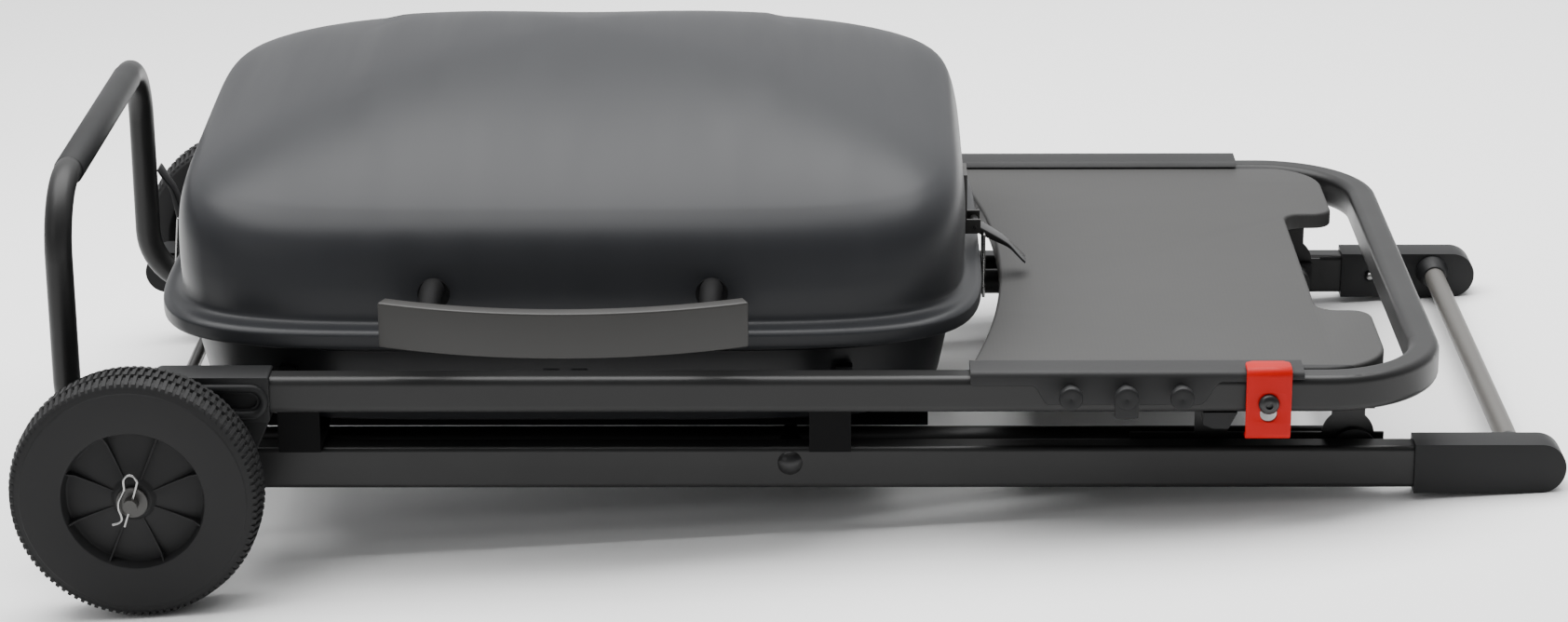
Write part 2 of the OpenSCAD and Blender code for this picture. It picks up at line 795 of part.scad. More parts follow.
// Two bent straps that carry the bowl between the rails, and the aprons between the straps
module cookbox_supports() {
    strap_w = 30;
    out = rail_inner_y - 0.02;
    apron_y = 150;
    apron_half = 262;
    color("#1b1c1e") place() {
        for (x = [-box_x - 190, -box_x + 190]) {
            block([x - strap_w / 2, -out, strap_z], [x + strap_w / 2, out, strap_z + strap_t]);
            both_sides() {
                block([x - strap_w / 2, -out, strap_z], [x + strap_w / 2, -out + strap_t, rail_z + 14]);
                block([x - strap_w / 2, -apron_y, strap_z], [x + strap_w / 2, -apron_y + 40, bowl_floor]);
            }
        }
        both_sides()
            block([-box_x - apron_half, -apron_y - strap_t, 0], [-box_x + apron_half, -apron_y, bowl_floor]);
    }
}

module burner_tube() {
    x0 = -box_x - 220;
    x1 = -box_x + 220;
    z = 44;
    r = 9;
    run_y = 60;
    header = 24;
    ports = 15;
    port_pitch = 26;
    color("#8c8f92") place() difference() {
        union() {
            for (s = [-1, 1])
                rod_x(x0 + 2, x1 - 2, s * run_y, z, r);
            for (x = [x0, x1 - header])
                block([x, -run_y - r - 2, z - r - 2], [x + header, run_y + r + 2, z + r + 2]);
            rod_x(x1 - 2, x1 + 35, knob_y, z, r);
            block([x1 - header, run_y, z - r - 2], [x1, knob_y + r + 2, z + r + 2]);
        }
        for (i = [0:ports - 1], s = [-1, 1])
            translate([-box_x + (i - (ports - 1) / 2) * port_pitch, s * run_y, z])
                cylinder(r = 1.5, h = 12, $fn = 16);
        rod_x(x1 + 20, x1 + 40, knob_y, z, r - 2);
    }
}

module heat_tent() {
    half = 90;
    top = 66;
    low = 57;
    t = 1.5;
    x0 = -box_x - 230;
    length = 430;
    color("#8c8f92") place()
        translate([x0, 0, 0]) rotate([90, 0, 90]) linear_extrude(length)
            polygon([[-half, low], [0, top], [half, low], [half, low - t], [0, top - t], [-half, low - t]]);
}

// Valve body outside the bowl's right end, with the gas inlet's threaded mouth
module gas_valve() {
    body_x = panel_x + 3;
    mouth_x = body_x + 8;
    color("#a59a6a") place() difference() {
        union() {
            rod_x(panel_x - 32, body_x + 1, knob_y, knob_z, 6);
            block([body_x, inlet_y - 12, knob_z - 8], [body_x + 14, knob_y + 10, knob_z + 8]);
            rod_x(body_x + 0.5, mouth_x + inlet_l, inlet_y, inlet_z, inlet_r + 4);
            rod_x(body_x + 12, body_x + 20, knob_y, knob_z, spindle_r);
        }
        rod_x(mouth_x, mouth_x + 60, inlet_y, inlet_z, inlet_r);
        rod_x(panel_x - 40, body_x + 2, knob_y, knob_z, 3);
    }
}

module igniter_electrode() {
    tip_x = 60;
    sleeve_x0 = 68;
    sleeve_x1 = 84;
    y = 30;
    z = 50;
    color("#e8e4da") place() {
        rod_x(sleeve_x0, sleeve_x1, y, z, 3.2);
        rod_x(tip_x, sleeve_x0 + 0.5, y, z, 1.2);
        block([sleeve_x1 - 0.5, y - 3, bowl_floor + wall], [sleeve_x1 + 2.5, y + 3, z + 4]);
    }
}

module control_knob() {
    base = panel_x + 18;
    color("#222426") place() difference() {
        union() {
            rod_x(base, base + 4, knob_y, knob_z, 20);
            rod_x(base + 3, base + 10, knob_y, knob_z, 15);
            block([base + 9, knob_y - 3.5, knob_z - 14.5], [base + 12, knob_y + 3.5, knob_z + 14.5]);
        }
        rod_x(base - 1, base + 8, knob_y, knob_z, spindle_r + run_gap);
    }
}

module igniter_button() {
    color("#c4202a") place() {
        rod_x(panel_x + 3, panel_x + 18, button_y, knob_z, 7);
        rod_x(panel_x - 14, panel_x + 3.2, button_y, knob_z, 5);
    }
}

// Half length, half width, floor, depth and thickness of the drip tray
tray_hx = 200;
tray_hy = 120;
tray_floor = -8;
tray_h = 15;
tray_t = 2;

// Channels under the straps that the tray's rims slide in
module tray_rails() {
    x0 = -box_x - 160;
    x1 = -box_x + 160;
    out = tray_hy + 9;
    t = 1.5;
    shelf = 3.6;
    top = strap_z - 1.7;
    color("#3a3c3e") place() both_sides() {
        block([x0, -out, top], [x1, -tray_hy + 2, strap_z]);
        block([x0, -out, shelf], [x1, -out + t, top]);
        block([x0, -out, shelf], [x1, -tray_hy + 0.5, shelf + t]);
    }
}

module drip_tray() {
    top = tray_floor + tray_h;
    color("#9fa2a4") place() difference() {
        union() {
            block([-box_x - tray_hx, -tray_hy + 1, tray_floor], [-box_x + tray_hx, tray_hy - 1, top]);
            block([-box_x - tray_hx, -tray_hy - 5, top - 1.5], [-box_x + tray_hx, tray_hy + 5, top]);
        }
        block([-box_x - tray_hx + tray_t, -tray_hy + tray_t + 1, tray_floor + tray_t],
            [-box_x + tray_hx - tray_t, tray_hy - tray_t - 1, top + 1]);
    }
}

// Cast grate between two x positions
module grate(x0, x1) {
    pitch = 14;
    half_y = 185;
    low = 70.4;
    high = 79;
    bar_half = 2.5;
    cross_w = 6;
    count = floor((x1 - x0 - 8) / pitch);
    start = (x0 + x1 - pitch * count) / 2;
    for (i = [0:count])
        block([start + i * pitch - bar_half, -half_y, low], [start + i * pitch + bar_half, half_y, high]);
    for (y = [-half_y, -half_y / 3, half_y / 3 - cross_w, half_y - cross_w])
        block([start - bar_half, y, low], [start + count * pitch + bar_half, y + cross_w, high - 2]);
}

module cooking_grate_left() {
    color("#26272a") place() grate(-box_x - 250, -box_x - 2);
}

module cooking_grate_right() {
    color("#26272a") place() grate(-box_x + 2, -box_x + 250);
}

// Hooked steel plates on the bowl's ends that the bails pull against
module latch_keepers() {
    out = flange_hx + 1;
    color("#5c5e60") place() difference() {
        for (s = [-1, 1])
            translate([-box_x, latch_y, 0]) mirror([s < 0 ? 1 : 0, 0, 0]) {
                block([bowl_hx - 6, -12, 64], [bowl_hx + 1, 12, 82]);
                block([bowl_hx - 4.5, -9, 75], [out, 9, 77.5]);
                block([out - 2, -9, 69], [out, 9, 77.5]);
            }
        bowl_form();
    }
}

// ---------- lid ----------

// Lid's shoulder, where its crown starts: height, lean and half sizes
shoulder_z = 192;
shoulder_lean = 0.085;
shoulder_hx = flange_hx - 19;
shoulder_hy = flange_hy - 36;
// How far behind the middle the crown's peak lies, and where its rings are
crown_shift = 70;
crown_steps = [0.06, 0.18, 0.32, 0.46, 0.6, 0.72, 0.82, 0.9, 0.955, 0.985];

// Ring u of the crown, from 0 at the peak to 1 at the shoulder, drawn in by t
function crown_ring(u, t) =
    ring((shoulder_hx - t) * u, (shoulder_hy - t) * u, crown_shift * (1 - u),
        shoulder_z + (lid_top_z - t - shoulder_z) * pow(1 - pow(u, 1.5), 0.77), shoulder_lean * u);

// Ring of the lid's wall or flange, drawn in from the flange's edge
function lid_ring(in_x, in_y, z, lean = 0) = ring(flange_hx - in_x, flange_hy - in_y, 0, z, lean);

// Outer rings of the lid from the peak down to the flange's lower edge
lid_outside = concat(
    [for (u = crown_steps) crown_ring(u, 0)],
    [ring(shoulder_hx, shoulder_hy, 0, shoulder_z, shoulder_lean),
        lid_ring(14, 25, 176, 0.055), lid_ring(12, 19.5, 155, 0.03),
        lid_ring(12.5, 16, 130, 0.01), lid_ring(13.5, 15, 110), lid_ring(12.5, 13.5, 106),
        lid_ring(9, 9.5, 103.5), lid_ring(3, 3, 102.5), lid_ring(0, 0, 99), lid_ring(0, 0, rim_z)]);

module lid_shell() {
    color("#43474d") place() loft(concat(
        lid_outside,
        [lid_ring(20, 20, rim_z),
            lid_ring(14 + wall, 16 + wall, 110), lid_ring(12.5 + wall, 16 + wall, 130, 0.01),
            lid_ring(12 + wall, 19.5 + wall, 155, 0.03), lid_ring(14 + wall, 25 + wall, 176, 0.055),
            ring(shoulder_hx - wall, shoulder_hy - wall, 0, shoulder_z - 1, shoulder_lean)],
        [for (i = [len(crown_steps) - 1:-1:0]) crown_ring(crown_steps[i], wall)]));
}

// Half lengths of the hinge knuckles, and the spread of the lower pair
lower_half = 7;
upper_half = 7.4;
lower_spread = 15;

module lid_hinge_lower() {
    color("#303234") place() for (x = hinge_xs) difference() {
        union() {
            for (s = [-1, 1])
                translate([x + s * lower_spread, 0, 0])
                    rod_x(-lower_half, lower_half, hinge_y, hinge_z, hinge_r);
            block([x - 22, bowl_hy - 7, 72], [x + 22, bowl_hy + 1, 83]);
            for (s = [-1, 1]) {
                mid = x + s * lower_spread;
                block([mid - lower_half, bowl_hy - 5, 79.5], [mid + lower_half, hinge_y + 4, 83]);
                block([mid - lower_half, hinge_y + 1, 79.5], [mid + lower_half, hinge_y + 4.6, hinge_z]);
            }
        }
        rod_x(x - 60, x + 60, hinge_y, hinge_z, hinge_pin_r + run_gap);
        bowl_form();
    }
}

module lid_hinge_upper() {
    color("#303234") place() for (x = hinge_xs) difference() {
        union() {
            rod_x(x - upper_half, x + upper_half, hinge_y, hinge_z, hinge_r);
            block([x - upper_half, flange_hy - 15, 103.5], [x + upper_half, hinge_y, 106]);
            block([x - upper_half, flange_hy - 15.5, 103.5], [x + upper_half, flange_hy - 11.5, 118]);
            block([x - upper_half, hinge_y - 3, hinge_z], [x + upper_half, hinge_y + 0.2, 105]);
        }
        rod_x(x - 60, x + 60, hinge_y, hinge_z, hinge_pin_r);
        loft(lid_outside);
    }
}

module lid_hinge_pins() {
    color("silver") place() for (x = hinge_xs) {
        rod_x(x - 22.1, x + 22.1, hinge_y, hinge_z, hinge_pin_r);
        rod_x(x - 24, x - 22, hinge_y, hinge_z, 4);
    }
}

// Handle: its lower and upper edge, its depth, and the bow of its front face
handle_low = 104;
handle_high = 137;
handle_depth = 12;
handle_front = 300;
handle_bow = 25;
handle_radius = (handle_l * handle_l / 4 + handle_bow * handle_bow) / (2 * handle_bow);
handle_half_angle = asin(handle_l / 2 / handle_radius);

// Bowed bar of the handle
module handle_bar() {
    translate([-box_x + 3, -handle_front + handle_radius, handle_low])
        rotate([0, 0, -90 - handle_half_angle])
            rotate_extrude(angle = 2 * handle_half_angle, $fn = 240)
                translate([handle_radius - handle_depth / 2, (handle_high - handle_low) / 2])
                    round_rect(handle_depth, handle_high - handle_low, 4);
}

module lid_handle() {
    color("#2e3033") place() handle_bar();
}

post_xs = [-box_x - 92, -box_x + 106];
post_z = 128;

module handle_posts() {
    color("#1b1c1e") place() difference() {
        for (x = post_xs) {
            rod_y(-handle_front + handle_depth + 8, -flange_hy + 20, x, post_z, 8);
            rod_y(-flange_hy + 13, -flange_hy + 20, x, post_z, 11);
        }
        handle_bar();
        loft(lid_outside);
    }
}

// ---------- toggle latches, drawn for the right end, about the lever's pivot ----------

module latch_frame(side) {
    place() translate([-box_x, latch_y, 0]) mirror([side < 0 ? 1 : 0, 0, 0])
        translate([lever_x, 0, lever_z]) children();
}

// Width of the lever, and radius of the wire bail
lever_w = 20;
wire_r = 1.25;

module latch_plate() {
    wall_x = flange_hx - 13 - lever_x;
    difference() {
        union() {
            block([wall_x - 2, -16, -4], [wall_x + 3, 16, 42]);
            for (s = [-1, 1])
                block([wall_x + 1, s * (lever_w / 2 + 1.7) - 1.2, -5],
                    [4.5, s * (lever_w / 2 + 1.7) + 1.2, 6]);
        }
        rod_y(-40, 40, 0, 0, 1.5 + run_gap);
    }
}

// Lever lying along +X from its pivot, turned up by rise
module latch_lever(rise) {
    half = lever_w / 2;
    rotate([0, -rise, 0]) difference() {
        union() {
            rod_y(-half, half, 0, 0, 3.2);
            rotate([90, 0, 0]) translate([0, 0, 0.4 - half]) linear_extrude(2 * half - 0.8)
                polygon([[1, -1], [30, -1], [48, -4.2], [48.4, -2.2], [30.2, 1], [1, 1]]);
            for (s = [-1, 1])
                block([1.5, s * (half - 2) - 1, -2.5], [bail_arm + 4, s * (half - 2) + 1, 0.5]);
            rod_y(-half - 3.4, half + 3.4, 0, 0, 1.5);
        }
        rod_y(-40, 40, bail_arm, -0.9, wire_r + run_gap);
    }
}

// Wire loop hanging from the lever, leaning out by lean
module latch_bail(rise, lean) {
    half = lever_w / 2 + 5.5;
    rotate([0, -rise, 0]) translate([bail_arm, 0, -0.9]) rotate([0, rise - lean, 0]) {
        rod_y(-half, half, 0, 0, wire_r);
        for (s = [-1, 1])
            rod_z(-bail_l, 0, 0, s * half, wire_r);
        rod_y(-half, half, 0, -bail_l, wire_r);
        for (s = [-1, 1], z = [0, -bail_l])
            translate([0, s * half, z]) sphere(r = wire_r, $fn = 16);
    }
}

module latch_plate_left() {
    color("#202224") difference() {
        latch_frame(-1) latch_plate();
        place() loft(lid_outside);
    }
}

module latch_plate_right() {
    color("#202224") difference() {
        latch_frame(1) latch_plate();
        place() loft(lid_outside);
    }
}

module latch_lever_left() {
    color("#202224") latch_frame(-1) latch_lever(closed_rise);
}

module latch_lever_right() {
    color("#202224") latch_frame(1) latch_lever(-open_dip);
}

module latch_bail_left() {
    color("silver") latch_frame(-1) latch_bail(closed_rise, bail_lean);
}

module latch_bail_right() {
    color("silver") latch_frame(1) latch_bail(-open_dip, 0);
}

wheel_axle();
axle_washers();
axle_clips();
front_wheel();
rear_wheel();
inner_leg_tube();
axle_bracket_front();
axle_bracket_rear();
slider_shaft();
scissor_bolts();
scissor_spacers();
slider_block_front();
slider_block_rear();
outer_leg_tube_front();
outer_leg_tube_rear();
foot_cap_front();
foot_cap_rear();
foot_cross_bar();
cap_snap_buttons();
top_frame_tube();
pivot_bracket_front();
pivot_bracket_rear();
leg_hinge_pins();
slide_track_front();
slide_track_rear();
side_table();
tool_hooks();
latch_bolt();
release_latch();
latch_catch();
cookbox();
cookbox_supports();
burner_tube();
heat_tent();
gas_valve();
igniter_electrode();
tray_rails();
drip_tray();
cooking_grate_left();
cooking_grate_right();
control_knob();
igniter_button();
latch_keepers();
lid_shell();
lid_hinge_lower();
lid_hinge_upper();
lid_hinge_pins();
lid_handle();
handle_posts();
latch_plate_left();
latch_plate_right();
latch_lever_left();
latch_lever_right();
latch_bail_left();
latch_bail_right();
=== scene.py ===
import json
import math

import bmesh
import bpy
from mathutils import Matrix, Vector


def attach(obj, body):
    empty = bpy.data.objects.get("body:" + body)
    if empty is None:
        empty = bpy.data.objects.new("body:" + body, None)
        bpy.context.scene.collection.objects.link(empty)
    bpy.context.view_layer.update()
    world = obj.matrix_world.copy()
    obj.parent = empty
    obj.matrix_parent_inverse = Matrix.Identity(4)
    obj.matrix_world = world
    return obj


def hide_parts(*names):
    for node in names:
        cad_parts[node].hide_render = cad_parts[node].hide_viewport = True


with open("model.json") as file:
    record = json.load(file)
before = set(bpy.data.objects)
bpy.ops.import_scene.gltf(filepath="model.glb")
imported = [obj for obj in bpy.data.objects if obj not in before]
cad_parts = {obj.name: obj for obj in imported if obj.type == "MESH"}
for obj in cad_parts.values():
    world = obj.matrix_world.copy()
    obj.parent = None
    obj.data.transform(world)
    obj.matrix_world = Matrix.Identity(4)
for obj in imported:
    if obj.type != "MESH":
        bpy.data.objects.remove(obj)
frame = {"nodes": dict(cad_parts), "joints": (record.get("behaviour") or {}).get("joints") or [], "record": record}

scene = bpy.context.scene
bpy.context.view_layer.update()

# ---------- the leg plane's frame, in which every piece is drawn in millimetres ----------

MM = 0.001
JOINTS = {joint["name"]: joint for joint in frame["joints"]}
pivot = Vector(JOINTS["scissor_pivot"]["pos_m"])
along = (Vector(JOINTS["slider_pivot"]["pos_m"]) - pivot).normalized()
across = Vector((0, 1, 0))
TURN = Matrix((along, across, along.cross(across))).transposed()
LEG = Matrix.Translation(pivot) @ TURN.to_4x4() @ Matrix.Scale(MM, 4)


def joint_place(name):
    """Where a joint of the frame sits, to a tenth of a millimetre."""
    return [round(value, 1) for value in LEG.inverted() @ Vector(JOINTS[name]["pos_m"])]


AXLE_X, WHEEL_Y, AXLE_Z = joint_place("front_wheel_spin")
UPPER_PIVOT_X = joint_place("top_pivot")[0]
BOX_X = -161                      # cookbox centre
LEG_Y, LEG_Z = 221, -4            # middle of the rear outer leg; the front one mirrors it
KNOB_Y, BUTTON_Y, KNOB_Z = 95, 130, 44     # control knob and igniter button
SKIRT_Y = 240.3                   # from here outwards the table is skirt
latch_right, LEVER_Y, LEVER_Z = joint_place("right_lever_fold")
LEVER_X = latch_right - BOX_X     # lever pivots from the cookbox centre


# ---------- materials ----------

class Look:
    """A procedural material whose texture coordinates are the object's own, in metres."""

    def __init__(self, name):
        self.name = name
        self.material = bpy.data.materials.new(name)
        self.material.use_nodes = True
        self.tree = self.material.node_tree
        self.shader = self.tree.nodes["Principled BSDF"]
        self.coords = self.add("ShaderNodeTexCoord").outputs["Object"]

    def add(self, kind, props=None, **values):
        """A node of this kind, with its properties set and its inputs filled or linked."""
        node = self.tree.nodes.new(kind)
        for key, value in (props or {}).items():
            setattr(node, key, value)
        for key, value in values.items():
            self.put(node.inputs[key.replace("_", " ")], value)
        return node

    def put(self, socket, value):
        """Links an output to the socket, or sets the socket's value."""
        if isinstance(value, bpy.types.NodeSocket):
            self.tree.links.new(value, socket)
        else:
            socket.default_value = value

    def set(self, name, value):
        """Sets or links one input of the shader."""
        self.put(self.shader.inputs[name], value)

    def noise(self, scale, detail, stretch=None):
        """Noise, drawn out along the axes on which stretch is small."""
        vector = self.coords
        if stretch:
            vector = self.add("ShaderNodeMapping", Vector=vector, Scale=stretch).outputs["Vector"]
        return self.add("ShaderNodeTexNoise", Vector=vector, Scale=scale, Detail=detail).outputs["Fac"]

    def worked(self, operation, *values):
        """Result of a sum with these values."""
        node = self.add("ShaderNodeMath", {"operation": operation})
        for socket, value in zip(node.inputs, values):
            self.put(socket, value)
        return node.outputs[0]

    def mix(self, factor, first, second):
        """Colour a share factor of the way from the first to the second."""
        node = self.add("ShaderNodeMix", {"data_type": "RGBA"})
        for socket, value in zip((node.inputs["Factor"], *node.inputs[6:8]), (factor, first, second)):
            self.put(socket, value)
        return node.outputs[2]

    def ramp(self, factor, dark, light, low=0.3, high=0.7):
        """Colour that runs from dark to light while factor runs from low to high."""
        node = self.add("ShaderNodeValToRGB", Fac=factor)
        for stop, place, colour in zip(node.color_ramp.elements, (low, high), (dark, light)):
            stop.position = place
            stop.color = (*colour, 1)
        return node.outputs["Color"]

    def span(self, factor, low, high):
        """Number that runs from low to high while a noise runs over its middle range."""
        return self.add("ShaderNodeMapRange", {"clamp": True}, Value=factor,
                        From_Min=0.3, From_Max=0.7, To_Min=low, To_Max=high).outputs["Result"]

    def bump(self, height, strength, depth_mm, normal=None):
        """Relief of this height, laid over another relief if one is given."""
        node = self.add("ShaderNodeBump", Height=height, Strength=strength, Distance=depth_mm * MM)
        if normal:
            self.put(node.inputs["Normal"], normal)
        return node.outputs["Normal"]


def tone(base, change):
    """Two shades of a colour, a share darker and a share lighter."""
    return [c * (1 - change) for c in base], [c * (1 + change) for c in base]


def plain_look(name, base, rough, metal=0.0, change=0.08, cloud=9, grain=700, strength=0.25,
               coat=0.0, stretch=None, shine=0.5):
    """Clouded colour, uneven gloss and a fine grain in the surface."""
    look = Look(name)
    clouds = look.noise(cloud, 4)
    fine = look.noise(grain, 2, stretch)
    look.set("Base Color", look.ramp(clouds, *tone(base, change)))
    look.set("Roughness", look.span(clouds, rough - 0.05, rough + 0.05))
    look.set("Metallic", metal)
    look.set("Normal", look.bump(fine, strength, 0.05))
    look.set("Specular IOR Level", shine)
    look.set("Coat Weight", coat)
    look.set("Coat Roughness", 0.35)
    return look


def table_look():
    """Grey moulded board with a fine crossed grain; the skirts over the rails are smoother and darker."""
    look = Look("table_grey")
    clouds = look.noise(7, 5)
    threads = []
    for axis in ("X", "Y"):
        wave = look.add("ShaderNodeTexWave", {"bands_direction": axis}, Vector=look.coords, Scale=105,
                        Distortion=1.2, Detail=1.0, Detail_Scale=2.0)
        threads.append(wave.outputs["Fac"])
    weave = look.worked("MULTIPLY", look.worked("ADD", *threads), 0.5)
    base, skirt_base = (0.037, 0.0366, 0.0358), (0.0115, 0.0116, 0.012)
    cloudy = look.ramp(clouds, *tone(base, 0.07))
    thready = look.ramp(weave, *tone(base, 0.12), low=0.0, high=1.0)
    grey = look.mix(0.35, cloudy, thready)
    place = look.add("ShaderNodeSeparateXYZ", Vector=look.coords)
    aside = look.worked("ABSOLUTE", place.outputs["Y"])
    on_skirt = look.worked("GREATER_THAN", aside, SKIRT_Y * MM)
    look.set("Base Color", look.mix(on_skirt, grey, look.ramp(clouds, *tone(skirt_base, 0.07))))
    look.set("Roughness", look.span(clouds, 0.55, 0.65))
    look.set("Specular IOR Level", 0.3)
    fine = look.bump(look.noise(900, 2), 0.15, 0.05)
    look.set("Normal", look.bump(weave, 0.18, 0.08, fine))
    return look


def lid_look():
    """Satin coating with a faint orange peel and drawn streaks running front to back."""
    look = Look("lid_enamel")
    clouds = look.noise(5, 5)
    streaks = look.noise(30, 3, (1.0, 0.12, 0.25))
    base = (0.017, 0.0178, 0.0198)
    cloudy = look.ramp(clouds, *tone(base, 0.05))
    streaky = look.ramp(streaks, *tone(base, 0.10))
    look.set("Base Color", look.mix(0.4, cloudy, streaky))
    look.set("Roughness", look.span(streaks, 0.36, 0.42))
    look.set("Specular IOR Level", 0.2)
    peel = look.bump(look.noise(260, 2), 0.10, 0.06)
    look.set("Normal", look.bump(look.noise(1400, 2), 0.12, 0.02, peel))
    return look


def worn_look(name, base, bare, rough, grain, strength):
    """Dark metal that shows a lighter edge where handling has rubbed it."""
    look = Look(name)
    clouds = look.noise(40, 4)
    edge = look.add("ShaderNodeNewGeometry").outputs["Pointiness"]
    rub = look.add("ShaderNodeMapRange", {"clamp": True}, Value=edge, From_Min=0.53, From_Max=0.62,
                   To_Min=0.0, To_Max=0.6).outputs["Result"]
    look.set("Base Color", look.mix(rub, look.ramp(clouds, *tone(base, 0.15)), (*bare, 1)))
    look.set("Roughness", look.span(clouds, rough - 0.06, rough + 0.06))
    look.set("Metallic", 0.25)
    look.set("Normal", look.bump(look.noise(grain, 3), strength, 0.15))
    return look


MATERIAL = {look.name: look.material for look in (
    plain_look("tube_black", (0.009, 0.009, 0.009), 0.4, grain=900, strength=0.2, shine=0.28),
    plain_look("wheel_black", (0.014, 0.014, 0.0143), 0.62, grain=500, strength=0.3, change=0.1,
               shine=0.18),
    plain_look("plastic_black", (0.009, 0.0092, 0.0096), 0.5, grain=1100, strength=0.3, shine=0.2),
    table_look(),
    lid_look(),
    plain_look("bowl_black", (0.008, 0.0083, 0.0092), 0.4, cloud=6, grain=260, strength=0.12, shine=0.22),
    plain_look("handle_dark", (0.024, 0.0232, 0.0218), 0.45, metal=0.1, grain=500, strength=0.15,
               stretch=(0.04, 1.0, 1.0), change=0.06, shine=0.35),
    plain_look("latch_red", (0.42, 0.002, 0.001), 0.45, change=0.05, grain=800, strength=0.12, shine=0.15),
    plain_look("cross_bar_grey", (0.105, 0.1, 0.092), 0.45, metal=0.2, grain=600, strength=0.2,
               stretch=(1.0, 0.08, 1.0)),
    plain_look("steel_bright", (0.3, 0.3, 0.295), 0.28, metal=1.0, cloud=60, grain=900, strength=0.1),
    worn_look("steel_dark", (0.008, 0.008, 0.0085), (0.05, 0.048, 0.044), 0.33, 700, 0.12),
    worn_look("cast_iron", (0.022, 0.022, 0.023), (0.05, 0.048, 0.046), 0.6, 420, 0.5),
    plain_look("steel_plain", (0.42, 0.41, 0.4), 0.34, metal=1.0, cloud=20, grain=500, strength=0.2,
               stretch=(0.05, 1.0, 1.0)),
    plain_look("valve_brass", (0.55, 0.42, 0.2), 0.33, metal=1.0, cloud=45, grain=700, strength=0.15),
    plain_look("tray_aluminium", (0.62, 0.62, 0.63), 0.36, metal=1.0, cloud=12, grain=400, strength=0.25,
               stretch=(0.08, 1.0, 1.0)),
    plain_look("ceramic_white", (0.75, 0.73, 0.67), 0.22, cloud=60, grain=300, strength=0.05, coat=0.4),
    # Painted shade: a darker, matt black for the cookbox supports and the handle posts, darker than their own
    # black plastic and tubes
    plain_look("matt_black_painted_shade", (0.004, 0.004, 0.0042), 0.65, grain=500, strength=0.3, shine=0.08),
    plain_look("button_red", (0.5, 0.025, 0.03), 0.3, cloud=50, grain=500, strength=0.08, coat=0.3),
)}

# ---------- shape helpers; a part is (points, faces) in local millimetres ----------

CORE_R = 0.01         # a turned solid starts this far from its axis
BOX_FACES = [(0, 1, 3, 2), (4, 6, 7, 5), (0, 4, 5, 1), (2, 3, 7, 6), (0, 2, 6, 4), (1, 5, 7, 3)]


def merged(*parts):
    """Several parts as one."""
    points, faces = [], []
    for part_points, part_faces in parts:
        start = len(points)
        points += [tuple(p) for p in part_points]
        faces += [tuple(start + i for i in face) for face in part_faces]
    return points, faces


def moved(part, x):
    """The part shifted along X."""
    return [(p[0] + x, p[1], p[2]) for p in part[0]], part[1]


def flipped(part):
    """The part mirrored to the other side of the middle plane."""
    return [(p[0], -p[1], p[2]) for p in part[0]], part[1]


def block(low, high):
    """Box between two corners."""
    xs, ys, zs = zip(low, high)
    return [(x, y, z) for x in xs for y in ys for z in zs], BOX_FACES


def loft(rings, closed=False):
    """Skin through rings of equal length, capped at both ends or closed on itself."""
    count, total = len(rings[0]), len(rings)
    points = [tuple(p) for ring_points in rings for p in ring_points]
    faces = []
    for k in range(total if closed else total - 1):
        a, b = k * count, ((k + 1) % total) * count
        faces += [(a + i, a + (i + 1) % count, b + (i + 1) % count, b + i) for i in range(count)]
    if not closed:
        faces.append(tuple(range(count - 1, -1, -1)))
        faces.append(tuple((total - 1) * count + i for i in range(count)))
    return points, faces


def prism(outline, low, high):
    """Outline of (x, z) points, carried from low to high along Y."""
    return loft([[(x, y, z) for x, z in outline] for y in (low, high)])


def rod(radius, low, high):
    """Lathe profile of a solid rod from low to high."""
    return [(CORE_R, low), (radius, low), (radius, high), (CORE_R, high)]


def lathe(profile, centre, axis, steps):
    """Closed profile of (radius, place along the axis), turned about the axis through centre."""
    order = {"x": lambda u, v, h: (h, u, v), "y": lambda u, v, h: (u, h, v), "z": lambda u, v, h: (u, v, h)}
    rings = []
    for k in range(steps):
        c, s = math.cos(math.tau * k / steps), math.sin(math.tau * k / steps)
        turned_points = [order[axis](r * c, r * s, h) for r, h in profile]
        rings.append([tuple(middle + offset for middle, offset in zip(centre, point))
                      for point in turned_points])
    return loft(rings, closed=True)


def disc(radius, steps):
    """Points round a circle about the origin."""
    return [(radius * math.cos(math.tau * i / steps), radius * math.sin(math.tau * i / steps))
            for i in range(steps)]


def arc(cx, cy, r, a0, a1, steps):
    """Points round (cx, cy) from angle a0 to angle a1, in degrees."""
    return [(cx + r * math.cos(math.radians(a0 + (a1 - a0) * i / steps)),
             cy + r * math.sin(math.radians(a0 + (a1 - a0) * i / steps))) for i in range(steps + 1)]


def ease(low, high, value):
    """Smooth step from 0 at low to 1 at high."""
    t = min(max((value - low) / (high - low), 0), 1)
    return t * t * (3 - 2 * t)


def sweep(path, section, start_up=(0, 0, 1)):
    """Section of (side, up) points carried along a path, without twist."""
    path = [Vector(p) for p in path]
    up = Vector(start_up)
    rings = []
    for k, point in enumerate(path):
        ahead = (path[min(k + 1, len(path) - 1)] - path[max(k - 1, 0)]).normalized()
        side = ahead.cross(up).normalized()
        up = side.cross(ahead).normalized()
        rings.append([point + side * u + up * v for u, v in section])
    return loft(rings)


def curve_through(points, steps):
    """Catmull-Rom curve through points of any dimension."""
    out = []
    last = len(points) - 1
    for k in range(last):
        a, b, c, d = (points[max(k - 1, 0)], points[k], points[k + 1], points[min(k + 2, last)])
        for i in range(steps):
            t = i / steps
            out.append(tuple(0.5 * (2 * q + (r - p) * t + (2 * p - 5 * q + 4 * r - s) * t * t
                                    + (3 * q - p - 3 * r + s) * t ** 3)
                             for p, q, r, s in zip(a, b, c, d)))
    out.append(tuple(points[-1]))
    return out


